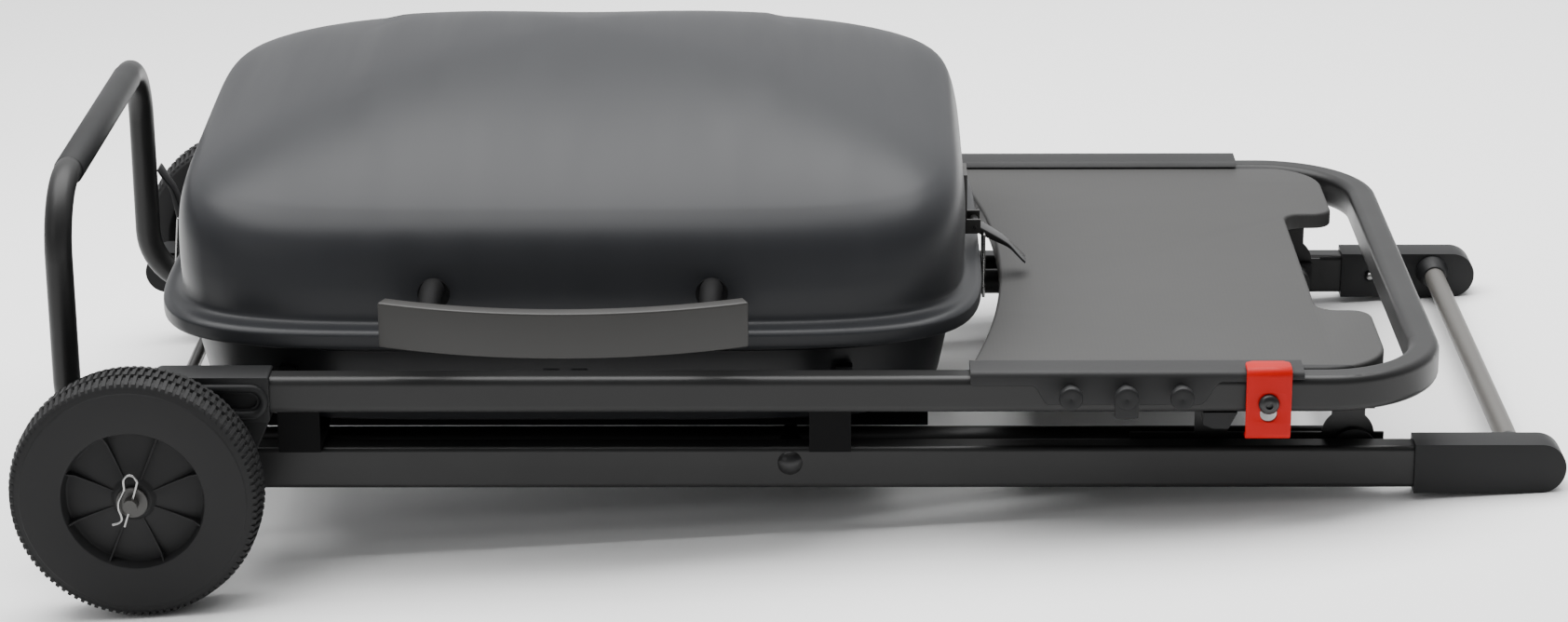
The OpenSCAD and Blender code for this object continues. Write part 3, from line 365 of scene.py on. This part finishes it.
def rounded(points, radius, steps, closed=True):
    """Polyline with each corner replaced by an arc; radius is one number or one a corner."""
    count = len(points)
    radii = radius if isinstance(radius, (list, tuple)) else [radius] * count
    out = []
    for i, point in enumerate(points):
        if not closed and i in (0, count - 1) or radii[i] == 0:
            out.append(tuple(point))
            continue
        here = Vector(point)
        before, after = Vector(points[i - 1]) - here, Vector(points[(i + 1) % count]) - here
        half = before.angle(after) / 2
        reach = min(radii[i] / math.tan(half), 0.49 * before.length, 0.49 * after.length)
        size = reach * math.tan(half)
        middle = here + (before.normalized() + after.normalized()).normalized() * (size / math.sin(half))
        first, last = here + before.normalized() * reach, here + after.normalized() * reach
        for k in range(steps + 1):
            ray = (first - middle).lerp(last - middle, k / steps)
            out.append(tuple(middle + ray.normalized() * size))
    return out


def bare(name, part):
    """The part as a mesh object in the scene, welded and with its faces turned outwards."""
    mesh = bpy.data.meshes.new(name)
    mesh.from_pydata([LEG @ Vector(p) for p in part[0]], [], part[1])
    bm = bmesh.new()
    bm.from_mesh(mesh)
    bmesh.ops.remove_doubles(bm, verts=bm.verts, dist=1e-7)
    bmesh.ops.dissolve_degenerate(bm, edges=bm.edges, dist=1e-7)
    bmesh.ops.recalc_face_normals(bm, faces=bm.faces)
    bm.to_mesh(mesh)
    bm.free()
    thing = bpy.data.objects.new(name, mesh)
    scene.collection.objects.link(thing)
    return thing


def baked(thing):
    """Gives thing the mesh that its modifiers make, and removes them."""
    graph = bpy.context.evaluated_depsgraph_get()
    mesh = bpy.data.meshes.new_from_object(thing.evaluated_get(graph))
    thing.modifiers.clear()
    thing.data = mesh


def piece(name, part, slot, cuts=(), edge=0.0, angle=32, steps=3):
    """A visible piece: its cuts made, its edges rounded by edge millimetres, and smooth shaded."""
    thing = bare(name, part)
    for cut in cuts:
        tool = bare("cut", cut)
        change = thing.modifiers.new("cut", "BOOLEAN")
        change.operation, change.object, change.solver = "DIFFERENCE", tool, "EXACT"
        baked(thing)
        bpy.data.objects.remove(tool)
    if edge:
        change = thing.modifiers.new("edge", "BEVEL")
        change.width, change.segments = edge * MM, steps
        change.limit_method, change.angle_limit = "ANGLE", math.radians(angle)
        change.use_clamp_overlap = True
        baked(thing)
    thing.data.materials.clear()
    thing.data.materials.append(MATERIAL[slot])
    thing.data.shade_smooth()
    thing.data.set_sharp_from_angle(angle=math.radians(angle))
    return thing


# ---------- camera, light and floor ----------

# Camera fitted to the photo: its eye in leg-plane millimetres, its turns in radians, its focal length
YAW, PITCH, ROLL = -0.0138, 0.3288, -0.0057
FOCAL_LENGTH = 92.14
EYE = Vector((33.6, -2932.0, 1037.3))
forward = Vector((math.sin(YAW) * math.cos(PITCH), math.cos(YAW) * math.cos(PITCH), -math.sin(PITCH)))
level = Vector((math.cos(YAW), -math.sin(YAW), 0))
upward = level.cross(forward)
right = level * math.cos(ROLL) + upward * math.sin(ROLL)
top = upward * math.cos(ROLL) - level * math.sin(ROLL)
camera = bpy.data.objects.new("camera", bpy.data.cameras.new("camera"))
scene.collection.objects.link(camera)
camera.matrix_world = (Matrix.Translation(LEG @ EYE)
                       @ (TURN @ Matrix((right, top, -forward)).transposed()).to_4x4())
camera.data.lens = FOCAL_LENGTH
camera.data.sensor_width = 36
camera.data.clip_end = 60
scene.camera = camera


def lamp(name, place, target, size, power):
    """Rectangular light at place, in metres, turned to face target."""
    data = bpy.data.lights.new(name, "AREA")
    data.shape, data.size, data.size_y, data.energy = "RECTANGLE", size[0], size[1], power
    thing = bpy.data.objects.new(name, data)
    thing.location = place
    thing.rotation_euler = (Vector(target) - Vector(place)).to_track_quat("-Z", "Y").to_euler()
    scene.collection.objects.link(thing)


lamp("overhead", (-0.1, 0.3, 2.1), (0, 0, 0.1), (3.2, 2.0), 150)
lamp("front_left", (-2.2, -2.4, 1.5), (0, 0, 0.1), (1.6, 1.2), 8)

# The studio is dim behind the camera and bright above and behind the grill
SKY_TILT, SKY_STRENGTH = math.radians(35), 1.2
world = bpy.data.worlds.new("studio")
world.use_nodes = True
sky = world.node_tree
where = sky.nodes.new("ShaderNodeTexCoord")
turned = sky.nodes.new("ShaderNodeMapping")
turned.inputs["Rotation"].default_value = (SKY_TILT, 0, 0)
split = sky.nodes.new("ShaderNodeSeparateXYZ")
walls = sky.nodes.new("ShaderNodeValToRGB")
sky.links.new(where.outputs["Generated"], turned.inputs["Vector"])
sky.links.new(turned.outputs["Vector"], split.inputs["Vector"])
sky.links.new(split.outputs["Z"], walls.inputs["Fac"])
for stop, place, grey in zip(walls.color_ramp.elements, (0.1, 0.7), (0.25, 1.0)):
    stop.position = place
    stop.color = (grey * 0.985, grey * 0.99, grey, 1)
sky.links.new(walls.outputs["Color"], sky.nodes["Background"].inputs["Color"])
sky.nodes["Background"].inputs["Strength"].default_value = SKY_STRENGTH
scene.world = world

paper = plain_look("floor_paper", (0.93, 0.93, 0.925), 0.75, change=0.01, cloud=1.5, grain=60,
                   strength=0.02)
floor_mesh = bpy.data.meshes.new("floor")
floor_mesh.from_pydata([(-14, -9, 0), (14, -9, 0), (14, 18, 0), (-14, 18, 0)], [], [(0, 1, 2, 3)])
floor = bpy.data.objects.new("floor", floor_mesh)
floor.data.materials.append(paper.material)
scene.collection.objects.link(floor)

# ---------- lid ----------

RING = 176                        # points in each ring of the lid and bowl
FLANGE_X, FLANGE_Y = 303, 240
WALL = 3
LID_TOP, CROWN_SHIFT, CROWN_RINGS = 250.8, 70, 40
SHOULDER_X, SHOULDER_Y, SHOULDER_Z, SHOULDER_LEAN = 284, 204, 192, 0.085
PEAK_POWER, CORNER_POWER = 3.5, 5.5        # higher is squarer
PANEL_LEFT, PANEL_RIGHT, PANEL_STEP = -322, -5, 2


def soft(value, power=CORNER_POWER):
    """A cosine or sine pushed outwards, so that a circle becomes a soft-cornered rectangle."""
    return math.copysign(abs(value) ** (2 / power), value)


def even_angles():
    """Angles at which points round the soft rectangle are evenly spaced."""
    steps = 6000
    fine = [math.tau * i / steps for i in range(steps + 1)]
    spots = [(FLANGE_X * soft(math.cos(a)), FLANGE_Y * soft(math.sin(a))) for a in fine]
    lengths = [0.0]
    for p, q in zip(spots, spots[1:]):
        lengths.append(lengths[-1] + math.dist(p, q))
    angles, j = [], 0
    for i in range(RING):
        wanted = lengths[-1] * i / RING
        while lengths[j + 1] < wanted:
            j += 1
        share = (wanted - lengths[j]) / max(lengths[j + 1] - lengths[j], 1e-9)
        angles.append(fine[j] + share * (fine[1] - fine[0]))
    return angles


ANGLES = even_angles()


def ring(half_x, half_y, z, lean=0.0):
    """Soft rectangle round the cookbox's centre; it rises with y by lean."""
    out = []
    for a in ANGLES:
        y = half_y * soft(math.sin(a))
        out.append((half_x * soft(math.cos(a)) + BOX_X, y, z + lean * y))
    return out


def crown(u, inset):
    """Ring at share u of the way from the lid's highest point out to its shoulder.

    The rings get rounder towards the highest point, and the top falls off later to the sides than
    to the front and back.
    """
    half_x, half_y = SHOULDER_X - inset, SHOULDER_Y - inset
    power = PEAK_POWER + (CORNER_POWER - PEAK_POWER) * u * u
    out = []
    for a in ANGLES:
        side, front = soft(math.cos(a), power), soft(math.sin(a), power)
        share = side ** 2 / (side ** 2 + front ** 2)
        fall = u ** (1.6 + 0.6 * share)
        height = (LID_TOP - inset - SHOULDER_Z) * (1 - fall) ** (0.77 - 0.03 * share)
        out.append((BOX_X + half_x * u * side, CROWN_SHIFT * (1 - u) + half_y * u * front,
                    SHOULDER_Z + height + SHOULDER_LEAN * u * u * half_y * front))
    return out


def wall_rings(stations, steps):
    """Rings on a smooth curve through (inset along X, inset along Y, height, lean)."""
    return [ring(FLANGE_X - a, FLANGE_Y - b, z, lean) for a, b, z, lean in curve_through(stations, steps)]


def panel_step(point):
    """How far the lid lies below its raised middle panel; the step fades out towards the front."""
    x, y, z = point
    fade = 5
    left = PANEL_LEFT + 0.0006 * (y - 20) ** 2
    right_edge = PANEL_RIGHT - 0.0009 * (y - 50) ** 2
    on_panel = ease(left - fade, left + fade, x) * (1 - ease(right_edge - fade, right_edge + fade, x))
    return PANEL_STEP * (1 - on_panel) * ease(-190, -20, y) * ease(185, 215, z)


def stepped(ring_points):
    """The ring with the panel's step taken off its height."""
    return [(x, y, z - panel_step((x, y, z))) for x, y, z in ring_points]


def soften(rings, first, last, rounds):
    """Rounds off the profile between two rings, each point drawn towards its neighbours'."""
    for _ in range(rounds):
        for k in range(first, last):
            rings[k] = [tuple((p + 2 * q + r) / 4 for p, q, r in zip(*three))
                        for three in zip(rings[k - 1], rings[k], rings[k + 1])]


crown_us = [math.sin(math.pi / 2 * k / CROWN_RINGS) for k in range(1, CROWN_RINGS)]
lid_walls = [(19, 36, 192, 0.085), (14, 25, 176, 0.055), (12, 19.5, 155, 0.03), (12.5, 16, 130, 0.01),
             (13.5, 15, 112, 0)]
lid_flange = [(13.5, 15, 112), (12.9, 14, 106.5), (9, 9.7, 103.9), (3.5, 3.5, 102.8), (0.6, 0.6, 100.6),
              (0, 0, 98.5), (0, 0, 92), (0.8, 0.8, 90.2), (2.5, 2.5, 90), (18, 18, 90), (17, 19, 96)]
lid_inside = [(17, 19, 110, 0), (15.5, 19, 130, 0.01), (15, 22.5, 155, 0.03), (17, 28, 176, 0.055),
              (22, 39, 191, 0.085)]
lid_rings = [stepped(crown(u, 0)) for u in crown_us]
shoulder = len(lid_rings)
lid_rings += wall_rings(lid_walls, 6)[:-1]
soften(lid_rings, shoulder - 5, shoulder + 17, rounds=14)
lid_rings += [ring(FLANGE_X - a, FLANGE_Y - b, z) for a, b, z in curve_through(lid_flange, 3)]
lid_rings += wall_rings(lid_inside, 4)
lid_rings += [crown(u, WALL) for u in reversed(crown_us[::2])]
lid = piece("lid_cover", loft(lid_rings), "lid_enamel", angle=50)
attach(lid, "lid")
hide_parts("lid_shell")

# ---------- bowl ----------

BOWL_TOP, BOWL_TAPER = 89.4, 0.2
BOWL_X, BOWL_Y = FLANGE_X - 20, FLANGE_Y - 14
LEDGE_LOW, LEDGE_TOP, LEDGE_HALF = 58, 70, 6
PIPE_X, PIPE_L = 60, 140


def bowl_ring(inset, z):
    """Ring of the bowl, drawn in by its taper and by inset."""
    drawn = inset + (BOWL_TOP - z) * BOWL_TAPER
    return ring(BOWL_X - drawn, BOWL_Y - drawn, z)


bowl_profile = rounded([(60, 25), (17, 25), (9, 29), (3, 38), (3, 89.4), (-4, 89.4), (-4, 85.4), (0, 83.4),
                        (0, 36), (5, 25), (13, 22), (60, 22)],
                       [0, 6, 6, 8, 0.8, 1.5, 1.5, 1.5, 9, 6, 6, 0], 4, closed=False)
ledges = [block((BOX_X + x - LEDGE_HALF, low, LEDGE_LOW), (BOX_X + x + LEDGE_HALF, high, LEDGE_TOP))
          for x in (-200, -10, 10, 200) for low, high in ((-222, -180), (180, 222))]
drain = lathe(rod(14, -5, 60), (BOX_X, 0, 0), "z", 40)
pipes = [lathe(rod(r, 0, PIPE_L), (PIPE_X, y, KNOB_Z), "x", 32) for y, r in ((KNOB_Y, 6.3), (BUTTON_Y, 5.3))]
bowl = piece("bowl", merged(loft([bowl_ring(a, z) for a, z in bowl_profile]), *ledges), "bowl_black",
             cuts=[drain, *pipes], angle=40)
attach(bowl, "cart_top")
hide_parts("cookbox")

# ---------- lid handle ----------

HANDLE_X, HANDLE_Z, HANDLE_FRONT = -158, 120.5, -300
HANDLE_R, HANDLE_HALF, HANDLE_DEPTH, HANDLE_RISE = 350.5, 130, 12, 16.5
HANDLE_STEPS = 48
POST_XS, FOOT_Y, FOOT_Z = (-253, -55), -230, 128

half_turn = math.asin(HANDLE_HALF / HANDLE_R)
deep = HANDLE_DEPTH / 2
handle_section = rounded([(-deep, -HANDLE_RISE), (deep, -HANDLE_RISE),
                          (deep, HANDLE_RISE), (-deep, HANDLE_RISE)], 1.4, 4)
handle_rings = []
for k in range(HANDLE_STEPS + 1):
    a = half_turn * (2 * k / HANDLE_STEPS - 1)
    middle = HANDLE_R - deep
    handle_rings.append([(HANDLE_X + (middle + u) * math.sin(a),
                          HANDLE_FRONT + HANDLE_R - (middle + u) * math.cos(a), HANDLE_Z + v)
                         for u, v in handle_section])
handle = piece("lid_handle_bar", loft(handle_rings), "handle_dark", edge=0.8, angle=50)
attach(handle, "lid")
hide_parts("lid_handle")

# Posts that rise from a round foot on the lid and bend down behind the bar
post_line = [(-216, 128), (-229, 131.5), (-243, 135), (-257, 134), (-270, 129), (-279, 123)]
foot_profile = [(5, 0), (11.5, 0), (11.5, 3), (9.8, 5.5), (5, 5.5)]
posts = []
for x in POST_XS:
    path = curve_through([(x, y, z) for y, z in post_line], 8)
    posts += [sweep(path, disc(8, 28)), lathe(foot_profile, (x, FOOT_Y, FOOT_Z), "y", 40)]
# Painted shade: the posts take the darker black look instead of the black of their slot
handle_posts = piece("lid_handle_posts", merged(*posts), "matt_black_painted_shade", angle=45)
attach(handle_posts, "lid")
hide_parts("handle_posts")

# ---------- wheels ----------

WHEEL_R, WHEEL_HALF = 89.45, 21
WHEEL_IN, WHEEL_OUT = WHEEL_Y + WHEEL_HALF, WHEEL_Y - WHEEL_HALF     # faces of the front wheel
LUGS, RIBS = 104, 8
LUG_PITCH = math.tau / LUGS


def tread_lug(angle, edges):
    """A lug of the tread between two edges of (place across, drop at that edge), drawn in outwards."""
    points = []
    for r, half_width, draw in ((86.6, 0.34, 0.0), (WHEEL_R, 0.24, 0.6)):
        for (y, drop), inwards in zip(edges, (1, -1)):
            for side in (-1, 1):
                turn = angle + side * half_width * LUG_PITCH
                points.append((AXLE_X + (r - drop) * math.cos(turn), y + inwards * draw,
                               AXLE_Z + (r - drop) * math.sin(turn)))
    return points, BOX_FACES


def dish_rib(angle):
    """A rib of the wheel's dish, from the hub outwards, thinner at its crest."""
    c, s = math.cos(angle), math.sin(angle)
    stations = ((12, 12, 5.2), (30, 14, 6.4), (44, 15, 6.2), (50.5, 15, 2.0))
    return loft([[(AXLE_X + r * c - w * s, WHEEL_OUT + depth, AXLE_Z + r * s + w * c)
                  for w, depth in ((-1.0, root), (-0.55, crest), (0.55, crest), (1.0, root))]
                 for r, root, crest in stations])


def wheel_part():
    """The front wheel: body, tread lugs and ribs; its outer face is towards -Y."""
    body = rounded([(5.05, WHEEL_IN - 2), (13, WHEEL_IN - 2), (17, WHEEL_IN - 12), (63.5, WHEEL_IN - 12),
                    (67.5, WHEEL_IN), (84, WHEEL_IN), (87.2, WHEEL_IN - 4), (87.2, WHEEL_OUT + 6),
                    (84.5, WHEEL_OUT + 1.6), (80.5, WHEEL_OUT + 0.9), (79.6, WHEEL_OUT), (50.5, WHEEL_OUT),
                    (48.6, WHEEL_OUT + 11.5), (16, WHEEL_OUT + 6.5), (13, WHEEL_OUT + 2.5),
                    (9, WHEEL_OUT + 2.5), (7.6, WHEEL_OUT + 9), (5.05, WHEEL_OUT + 9)],
                   [0, 1, 2, 2, 2, 2, 1.2, 2, 1.5, 0.4, 0.6, 1.2, 2.0, 2, 1, 0.8, 0.6, 0], 3)
    parts = [lathe(body, (AXLE_X, 0, AXLE_Z), "y", 144)]
    shoulder_drop = 2.6
    rows = (((WHEEL_OUT + 1.2, shoulder_drop), (WHEEL_OUT + 13.5, 0.0)),
            ((WHEEL_OUT + 15, 0.0), (WHEEL_OUT + 27, 0.0)),
            ((WHEEL_OUT + 28.5, 0.0), (WHEEL_IN - 1.2, shoulder_drop)))
    for edges, offset in zip(rows, (0.0, 0.5, 0.0)):
        parts += [tread_lug((k + offset) * LUG_PITCH, edges) for k in range(LUGS)]
    parts += [dish_rib(math.radians((k + 0.5) * 360 / RIBS)) for k in range(RIBS)]
    return merged(*parts)


wheel = wheel_part()
for name, part in (("front_wheel", wheel), ("rear_wheel", flipped(wheel))):
    tyre = piece(name + "_tyre", part, "wheel_black", angle=28)
    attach(tyre, name)
    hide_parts(name)

# Sprung hitch pin through each end of the axle
PIN_Y, PIN_WIRE_R, PIN_LEAN = 325.4, 0.9, math.radians(72)
pin_line = [(-17, 0.0), (15, 0.0), (19, 1.2), (21.4, 4.2), (20.4, 8.0), (16.6, 9.6), (12.6, 8.4), (9.6, 7.4),
            (5.4, 7.9), (0, 8.6), (-5.4, 7.4), (-9.4, 4.6), (-12.6, 3.2), (-15.8, 4.8), (-18.4, 8.4)]
pins = []
for side in (-1, 1):
    path = [(AXLE_X + u * math.cos(PIN_LEAN) - v * math.sin(PIN_LEAN), side * PIN_Y,
             AXLE_Z + u * math.sin(PIN_LEAN) + v * math.cos(PIN_LEAN)) for u, v in curve_through(pin_line, 5)]
    pins.append(sweep(path, disc(PIN_WIRE_R, 12), (0, 1, 0)))
clips = piece("hitch_pins", merged(*pins), "steel_bright", angle=60)
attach(clips, "axle")
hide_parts("axle_clips")

# ---------- side table ----------

TABLE_HALF, TABLE_LEFT, TABLE_RIGHT = 246.5, 129, 428
BOW_HALF, BOW = 240, 29           # the bowed left edge
NOTCH_X, TAB_Y = 389, 118         # the notch between the tabs at the right end
CORNER_R, NOTCH_R = 50, 15
RIB_LOW, RIB_TOP = 70, 76
SKIRT_FACE = -272
HOOK_XS, HOOK_Z = (198, 237, 276), 70


def table_outline(d):
    """The table's plan, drawn in by d."""
    bow_r = (BOW_HALF ** 2 + BOW ** 2) / (2 * BOW)
    half = [(TABLE_LEFT + BOW - bow_r + math.sqrt((bow_r + d) ** 2 - y * y), y)
            for y in ((TABLE_HALF - d) * i / 24 for i in range(25))]
    half += arc(TABLE_RIGHT - CORNER_R, TABLE_HALF - CORNER_R, CORNER_R - d, 90, 0, 16)
    half += arc(TABLE_RIGHT - NOTCH_R, TAB_Y + NOTCH_R, NOTCH_R - d, 0, -90, 8)
    half += arc(NOTCH_X + NOTCH_R, TAB_Y - NOTCH_R, NOTCH_R + d, 90, 180, 8)
    return half + [(x, -y) for x, y in reversed(half[1:])]


edge_curve = [(2.5, 75), (2.5, 66.2), (2.0, 65.5), (0.6, 65.5), (0, 66.2), (0, 75.4), (0.35, 76.7),
              (1.3, 77.65), (2.6, 78)]
board = loft([[(x, y, z) for x, y in table_outline(d)] for d, z in edge_curve])
ribs = [block((x - 1, -245, RIB_LOW), (x + 1, 245, RIB_TOP)) for x in (205, 260, 315, 370)]
ribs += [block((168, y - 1, RIB_LOW), (378, y + 1, RIB_TOP)) for y in (-160, -80, 0, 80, 160)]


def skirt_edge(x):
    """Lower edge of the skirt: deep where the hooks are, shallow at its ends."""
    deepened = ease(172, 183, x) * (1 - ease(290, 305, x))
    return 73 - 14 * deepened + 3 * ease(290, 305, x)


def skirt_part():
    """The front skirt, over the rail and down its face; at its right end it is over the rail alone."""
    left, face_end, right_end, over_rail = 128, 351, 363, 78.9
    rings = []
    for x in [128.0, 128.4, 129.2] + [130 + 2 * i for i in range(111)] + [350.6, 351.0]:
        low = skirt_edge(x) + max(0.0, 1.6 - (x - left)) + max(0.0, x - (face_end - 1.6))
        line = [(-240.5, over_rail), (-240.5, 79.6), (-243, 82.6), (-246.5, 83.5), (-267.4, 83.5),
                (-269.6, 83.0), (-271.3, 81.4), (SKIRT_FACE, 79), (SKIRT_FACE, low + 0.8), (-271.2, low),
                (-270.2, low), (-269.4, low + 0.8), (-269.4, over_rail)]
        rings.append([(x, y, z) for y, z in line])
    for x in (face_end + 0.2, right_end - 0.8, right_end):
        rings.append([(x, y, max(z, over_rail if y > -269.5 else over_rail - 2.2))
                      for _, y, z in rings[-1]])
    return loft(rings)


skirt = skirt_part()
table = piece("table_board", merged(board, *ribs, skirt, flipped(skirt)), "table_grey", angle=38)
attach(table, "cart_top")
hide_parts("side_table")

hook_profile = [(CORE_R, 0), (5, 0), (5, -11.5), (7.6, -12), (8.4, -12.9), (8.4, -17.2), (7.9, -18.4),
                (6.6, -19), (3.6, -18.6), (CORE_R, -18.4)]
hooks = [lathe(hook_profile, (x, SKIRT_FACE, HOOK_Z), "y", 48) for x in HOOK_XS]
tab = prism(rounded([(-8.4, 55), (8.4, 55), (8.4, 72), (-8.4, 72)], [2.2, 2.2, 1, 1], 4), -290, -284.5)
hooks.append(moved(tab, HOOK_XS[1]))
hook_set = piece("table_hooks", merged(*hooks), "plastic_black", edge=0.5, angle=45, steps=2)
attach(hook_set, "cart_top")
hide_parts("tool_hooks")

# ---------- release latch ----------

LATCH_X, LATCH_HALF, LATCH_HALF_T = 338, 16, 1.5
SLOT_R, SLOT_LOW, SLOT_L = 6, 53.5, 9.1
BOLT_Y, BOLT_Z = -276, 61.2


def latch_part():
    """The bent plate: its lower lip, its face, and its tongue over the rail with round corners."""
    profile = rounded([(-266.5, 35.5), (-274, 35.5), (-274, 85.5), (-257, 85.5)], [0, 3.2, 4.4, 0], 6,
                      closed=False)
    line = []
    for (y0, z0), (y1, z1) in zip(profile, profile[1:]):
        count = max(1, round(math.dist((y0, z0), (y1, z1)) / 2.4))
        line += [(y0 + (y1 - y0) * i / count, z0 + (z1 - z0) * i / count) for i in range(count)]
    line.append(profile[-1])
    rings = []
    for k, (y, z) in enumerate(line):
        before, after = line[max(k - 1, 0)], line[min(k + 1, len(line) - 1)]
        ahead = Vector((after[0] - before[0], after[1] - before[1])).normalized()
        side = Vector((ahead[1], -ahead[0]))
        on_tongue = z > 80 and y > -262
        half = LATCH_HALF - (4.5 * (1 - math.sqrt(1 - ((y + 262) / 5) ** 2)) if on_tongue else 0)
        across_edge = [(half, 1.0), (half - 0.6, LATCH_HALF_T)]
        section = [(-x, t) for x, t in across_edge] + across_edge[::-1]
        section += [(x, -t) for x, t in reversed(section)]
        rings.append([(LATCH_X + x, y + side[0] * t, z + side[1] * t) for x, t in section])
    return loft(rings)


slot_shape = [(LATCH_X + SLOT_R * math.cos(a), SLOT_LOW + SLOT_L * (math.sin(a) > 0) + SLOT_R * math.sin(a))
              for a in (math.tau * (i + 0.5) / 40 for i in range(40))]
latch = piece("release_plate", latch_part(), "latch_red",
              cuts=[prism(slot_shape, -282, -268)], edge=0.35, angle=45, steps=2)
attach(latch, "release_latch")
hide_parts("release_latch")

head = [(CORE_R, 3.5), (4, 3.5), (4, 0), (7.3, 0), (7.3, -1.0), (6.6, -2.4), (5.2, -3.4), (3.2, -3.9),
        (2.7, -3.9), (2.7, -1.4), (CORE_R, -1.4)]
bolt = piece("latch_button_bolt", lathe(head, (LATCH_X, BOLT_Y, BOLT_Z), "y", 40), "steel_dark", angle=35)
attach(bolt, "cart_top")
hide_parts("latch_bolt")

# ---------- foot caps, rail end covers, cross bar collars and pull bar grip ----------

CAP_R, CAP_X, CAP_LEFT, CAP_HALF = 18.5, 539.45, 449, 13
BUTTON_X = 472
SIDES = (("front", lambda part: part), ("rear", flipped))

cap_outline = [(CAP_LEFT, LEG_Z + CAP_R), (CAP_LEFT, LEG_Z - CAP_R)]
cap_outline += [(x, z + LEG_Z) for x, z in arc(CAP_X, 0, CAP_R, -90, 90, 40)]
cap = prism(cap_outline, -LEG_Y - CAP_HALF, -LEG_Y + CAP_HALF)
button_seat = lathe(rod(4.6, 0, 4), (BUTTON_X, -LEG_Y + CAP_HALF - 1.5, LEG_Z), "y", 28)
for name, place in SIDES:
    sleeve = piece(f"foot_sleeve_{name}", place(cap), "plastic_black", cuts=[place(button_seat)],
                   edge=2.4, steps=5)
    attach(sleeve, "outer_leg")
    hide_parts(f"foot_cap_{name}")

# Cover over the rail's left end, with a raised loop round a pocket on its face, and the leg's lug below it
COVER_FACE = -272.4
cover = prism(rounded([(-452, 47), (-367.5, 47), (-367.5, 80.4), (-452, 80.4)], [5, 2, 1.5, 6], 5),
              COVER_FACE, -245.5)
hollow = block((-438, -269, 51.5), (-360, -200, 78.5))
loop_mid, loop_r = 62.6, 9.9
loop_path = [(-446, loop_mid + loop_r), (-384, loop_mid + loop_r)] + arc(-381, loop_mid, loop_r, 80, -80, 14)
loop_path += [(-384, loop_mid - loop_r), (-446, loop_mid - loop_r)]
loop = sweep([(x, COVER_FACE + 0.2, z) for x, z in loop_path], disc(3.3, 16), (0, 1, 0))
pocket = prism([(-450, 57), (-382, 57), (-377.5, 59.4), (-376, loop_mid), (-377.5, 65.8), (-382, 68.2),
                (-450, 68.2)], -280, -269.6)
lug = prism([(-449, 49)] + arc(UPPER_PIVOT_X, 0, 18, 190, 350, 20) + [(-367, 49)], -246.5, -232)
for name, place in SIDES:
    moulding = piece(f"rail_end_{name}", place(cover), "plastic_black",
                     cuts=[place(hollow), place(pocket)], edge=0.8, angle=50)
    plate = piece(f"leg_lug_{name}", place(lug), "plastic_black", edge=1.0)
    rib = piece(f"rail_end_loop_{name}", place(loop), "plastic_black", angle=60)
    for thing in (moulding, plate, rib):
        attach(thing, "cart_top")
    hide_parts(f"pivot_bracket_{name}")

# Dark collars where the cross bar enters the foot caps
CROSS_BAR_X = 523
collar_profile = [(8.05, 0), (13, 0), (13, -3), (11.6, -8), (9.4, -17), (8.05, -17.6)]
collars = []
for side in (-1, 1):
    outer = side * (LEG_Y - CAP_HALF - 0.1)
    collars.append(lathe([(r, outer + side * h) for r, h in collar_profile], (CROSS_BAR_X, 0, 0), "y", 40))
collar = piece("cross_bar_collars", merged(*collars), "plastic_black", edge=0.5, angle=40, steps=2)
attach(collar, "outer_leg")

# Grip sleeve round the pull bar, tapered at its ends
PULL_BAR_X, PULL_BAR_Z, GRIP_HALF = -528, 189.2, 128
half_grip = [(-GRIP_HALF, 9.2), (-GRIP_HALF + 0.6, 10.6), (-GRIP_HALF + 2, 11.2)]
grip_line = half_grip + [(-y, r) for y, r in reversed(half_grip)]
grip = loft([[(PULL_BAR_X + u, y, PULL_BAR_Z + v) for u, v in disc(r, 40)] for y, r in grip_line])
sleeve = piece("pull_bar_grip", grip, "plastic_black", angle=50)
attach(sleeve, "inner_leg")

# ---------- toggle latch levers ----------


def lever_part():
    """A lever along +X from its pivot: pressed channel, necked, with a flared finger tip."""
    stations = [(0.5, 9.6, 4.6, 0.0), (6, 9.6, 4.8, 0.4), (14, 9.4, 4.4, 0.8), (22, 8.6, 3.6, 0.9),
                (29, 7.8, 2.6, 0.6), (34, 7.6, 1.9, -0.4), (40, 8.6, 1.5, -2.0), (45, 9.6, 1.3, -3.2),
                (48.6, 9.2, 1.2, -4.0)]
    sheet = 1.1
    rings = []
    for x, half, depth, up in curve_through(stations, 5):
        low = up + sheet - depth
        rings.append([(x, -half, low), (x, -half, up + 0.6), (x, -half + 0.6, up + 1.2),
                      (x, half - 0.6, up + 1.2), (x, half, up + 0.6), (x, half, low),
                      (x, half - sheet, low), (x, half - sheet, up), (x, -half + sheet, up),
                      (x, -half + sheet, low)])
    barrel = lathe([(1.52, -9.4), (3.2, -9.4), (3.2, 9.4), (1.52, 9.4)], (0, 0, 0), "y", 28)
    rivet = lathe(rod(1.45, -13.4, 13.4), (0, 0, 0), "y", 20)
    return merged(loft(rings), barrel, rivet)


def at_latch(part, side, rise):
    """The lever turned up by rise degrees and put at the lid's left (-1) or right (1) end."""
    c, s = math.cos(math.radians(rise)), math.sin(math.radians(rise))
    return [(BOX_X + side * (LEVER_X + x * c - z * s), LEVER_Y + y, LEVER_Z + x * s + z * c)
            for x, y, z in part[0]], part[1]


for name, side, rise in (("left", -1, 72), ("right", 1, -33)):
    lever = piece(f"latch_lever_{name}_pressed", at_latch(lever_part(), side, rise), "steel_dark",
                  edge=0.25, angle=40, steps=2)
    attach(lever, f"latch_lever_{name}")
    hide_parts(f"latch_lever_{name}")

# ---------- carried-over CAD nodes take their slot's material; the cookbox supports get painted shade ---

# The supports take a darker black than the tubes of their slot: painted shade, so they sink into the dark gap
# between the rails under the cookbox
PAINTED_SHADE_NODES = {"cookbox_supports": "matt_black_painted_shade"}
for subpart in frame["record"]["subparts"]:
    node = frame["nodes"][subpart["node"]]
    node.data.materials.clear()
    node.data.materials.append(MATERIAL[PAINTED_SHADE_NODES.get(subpart["node"], subpart["material_slot"])])

bpy.context.view_layer.update()
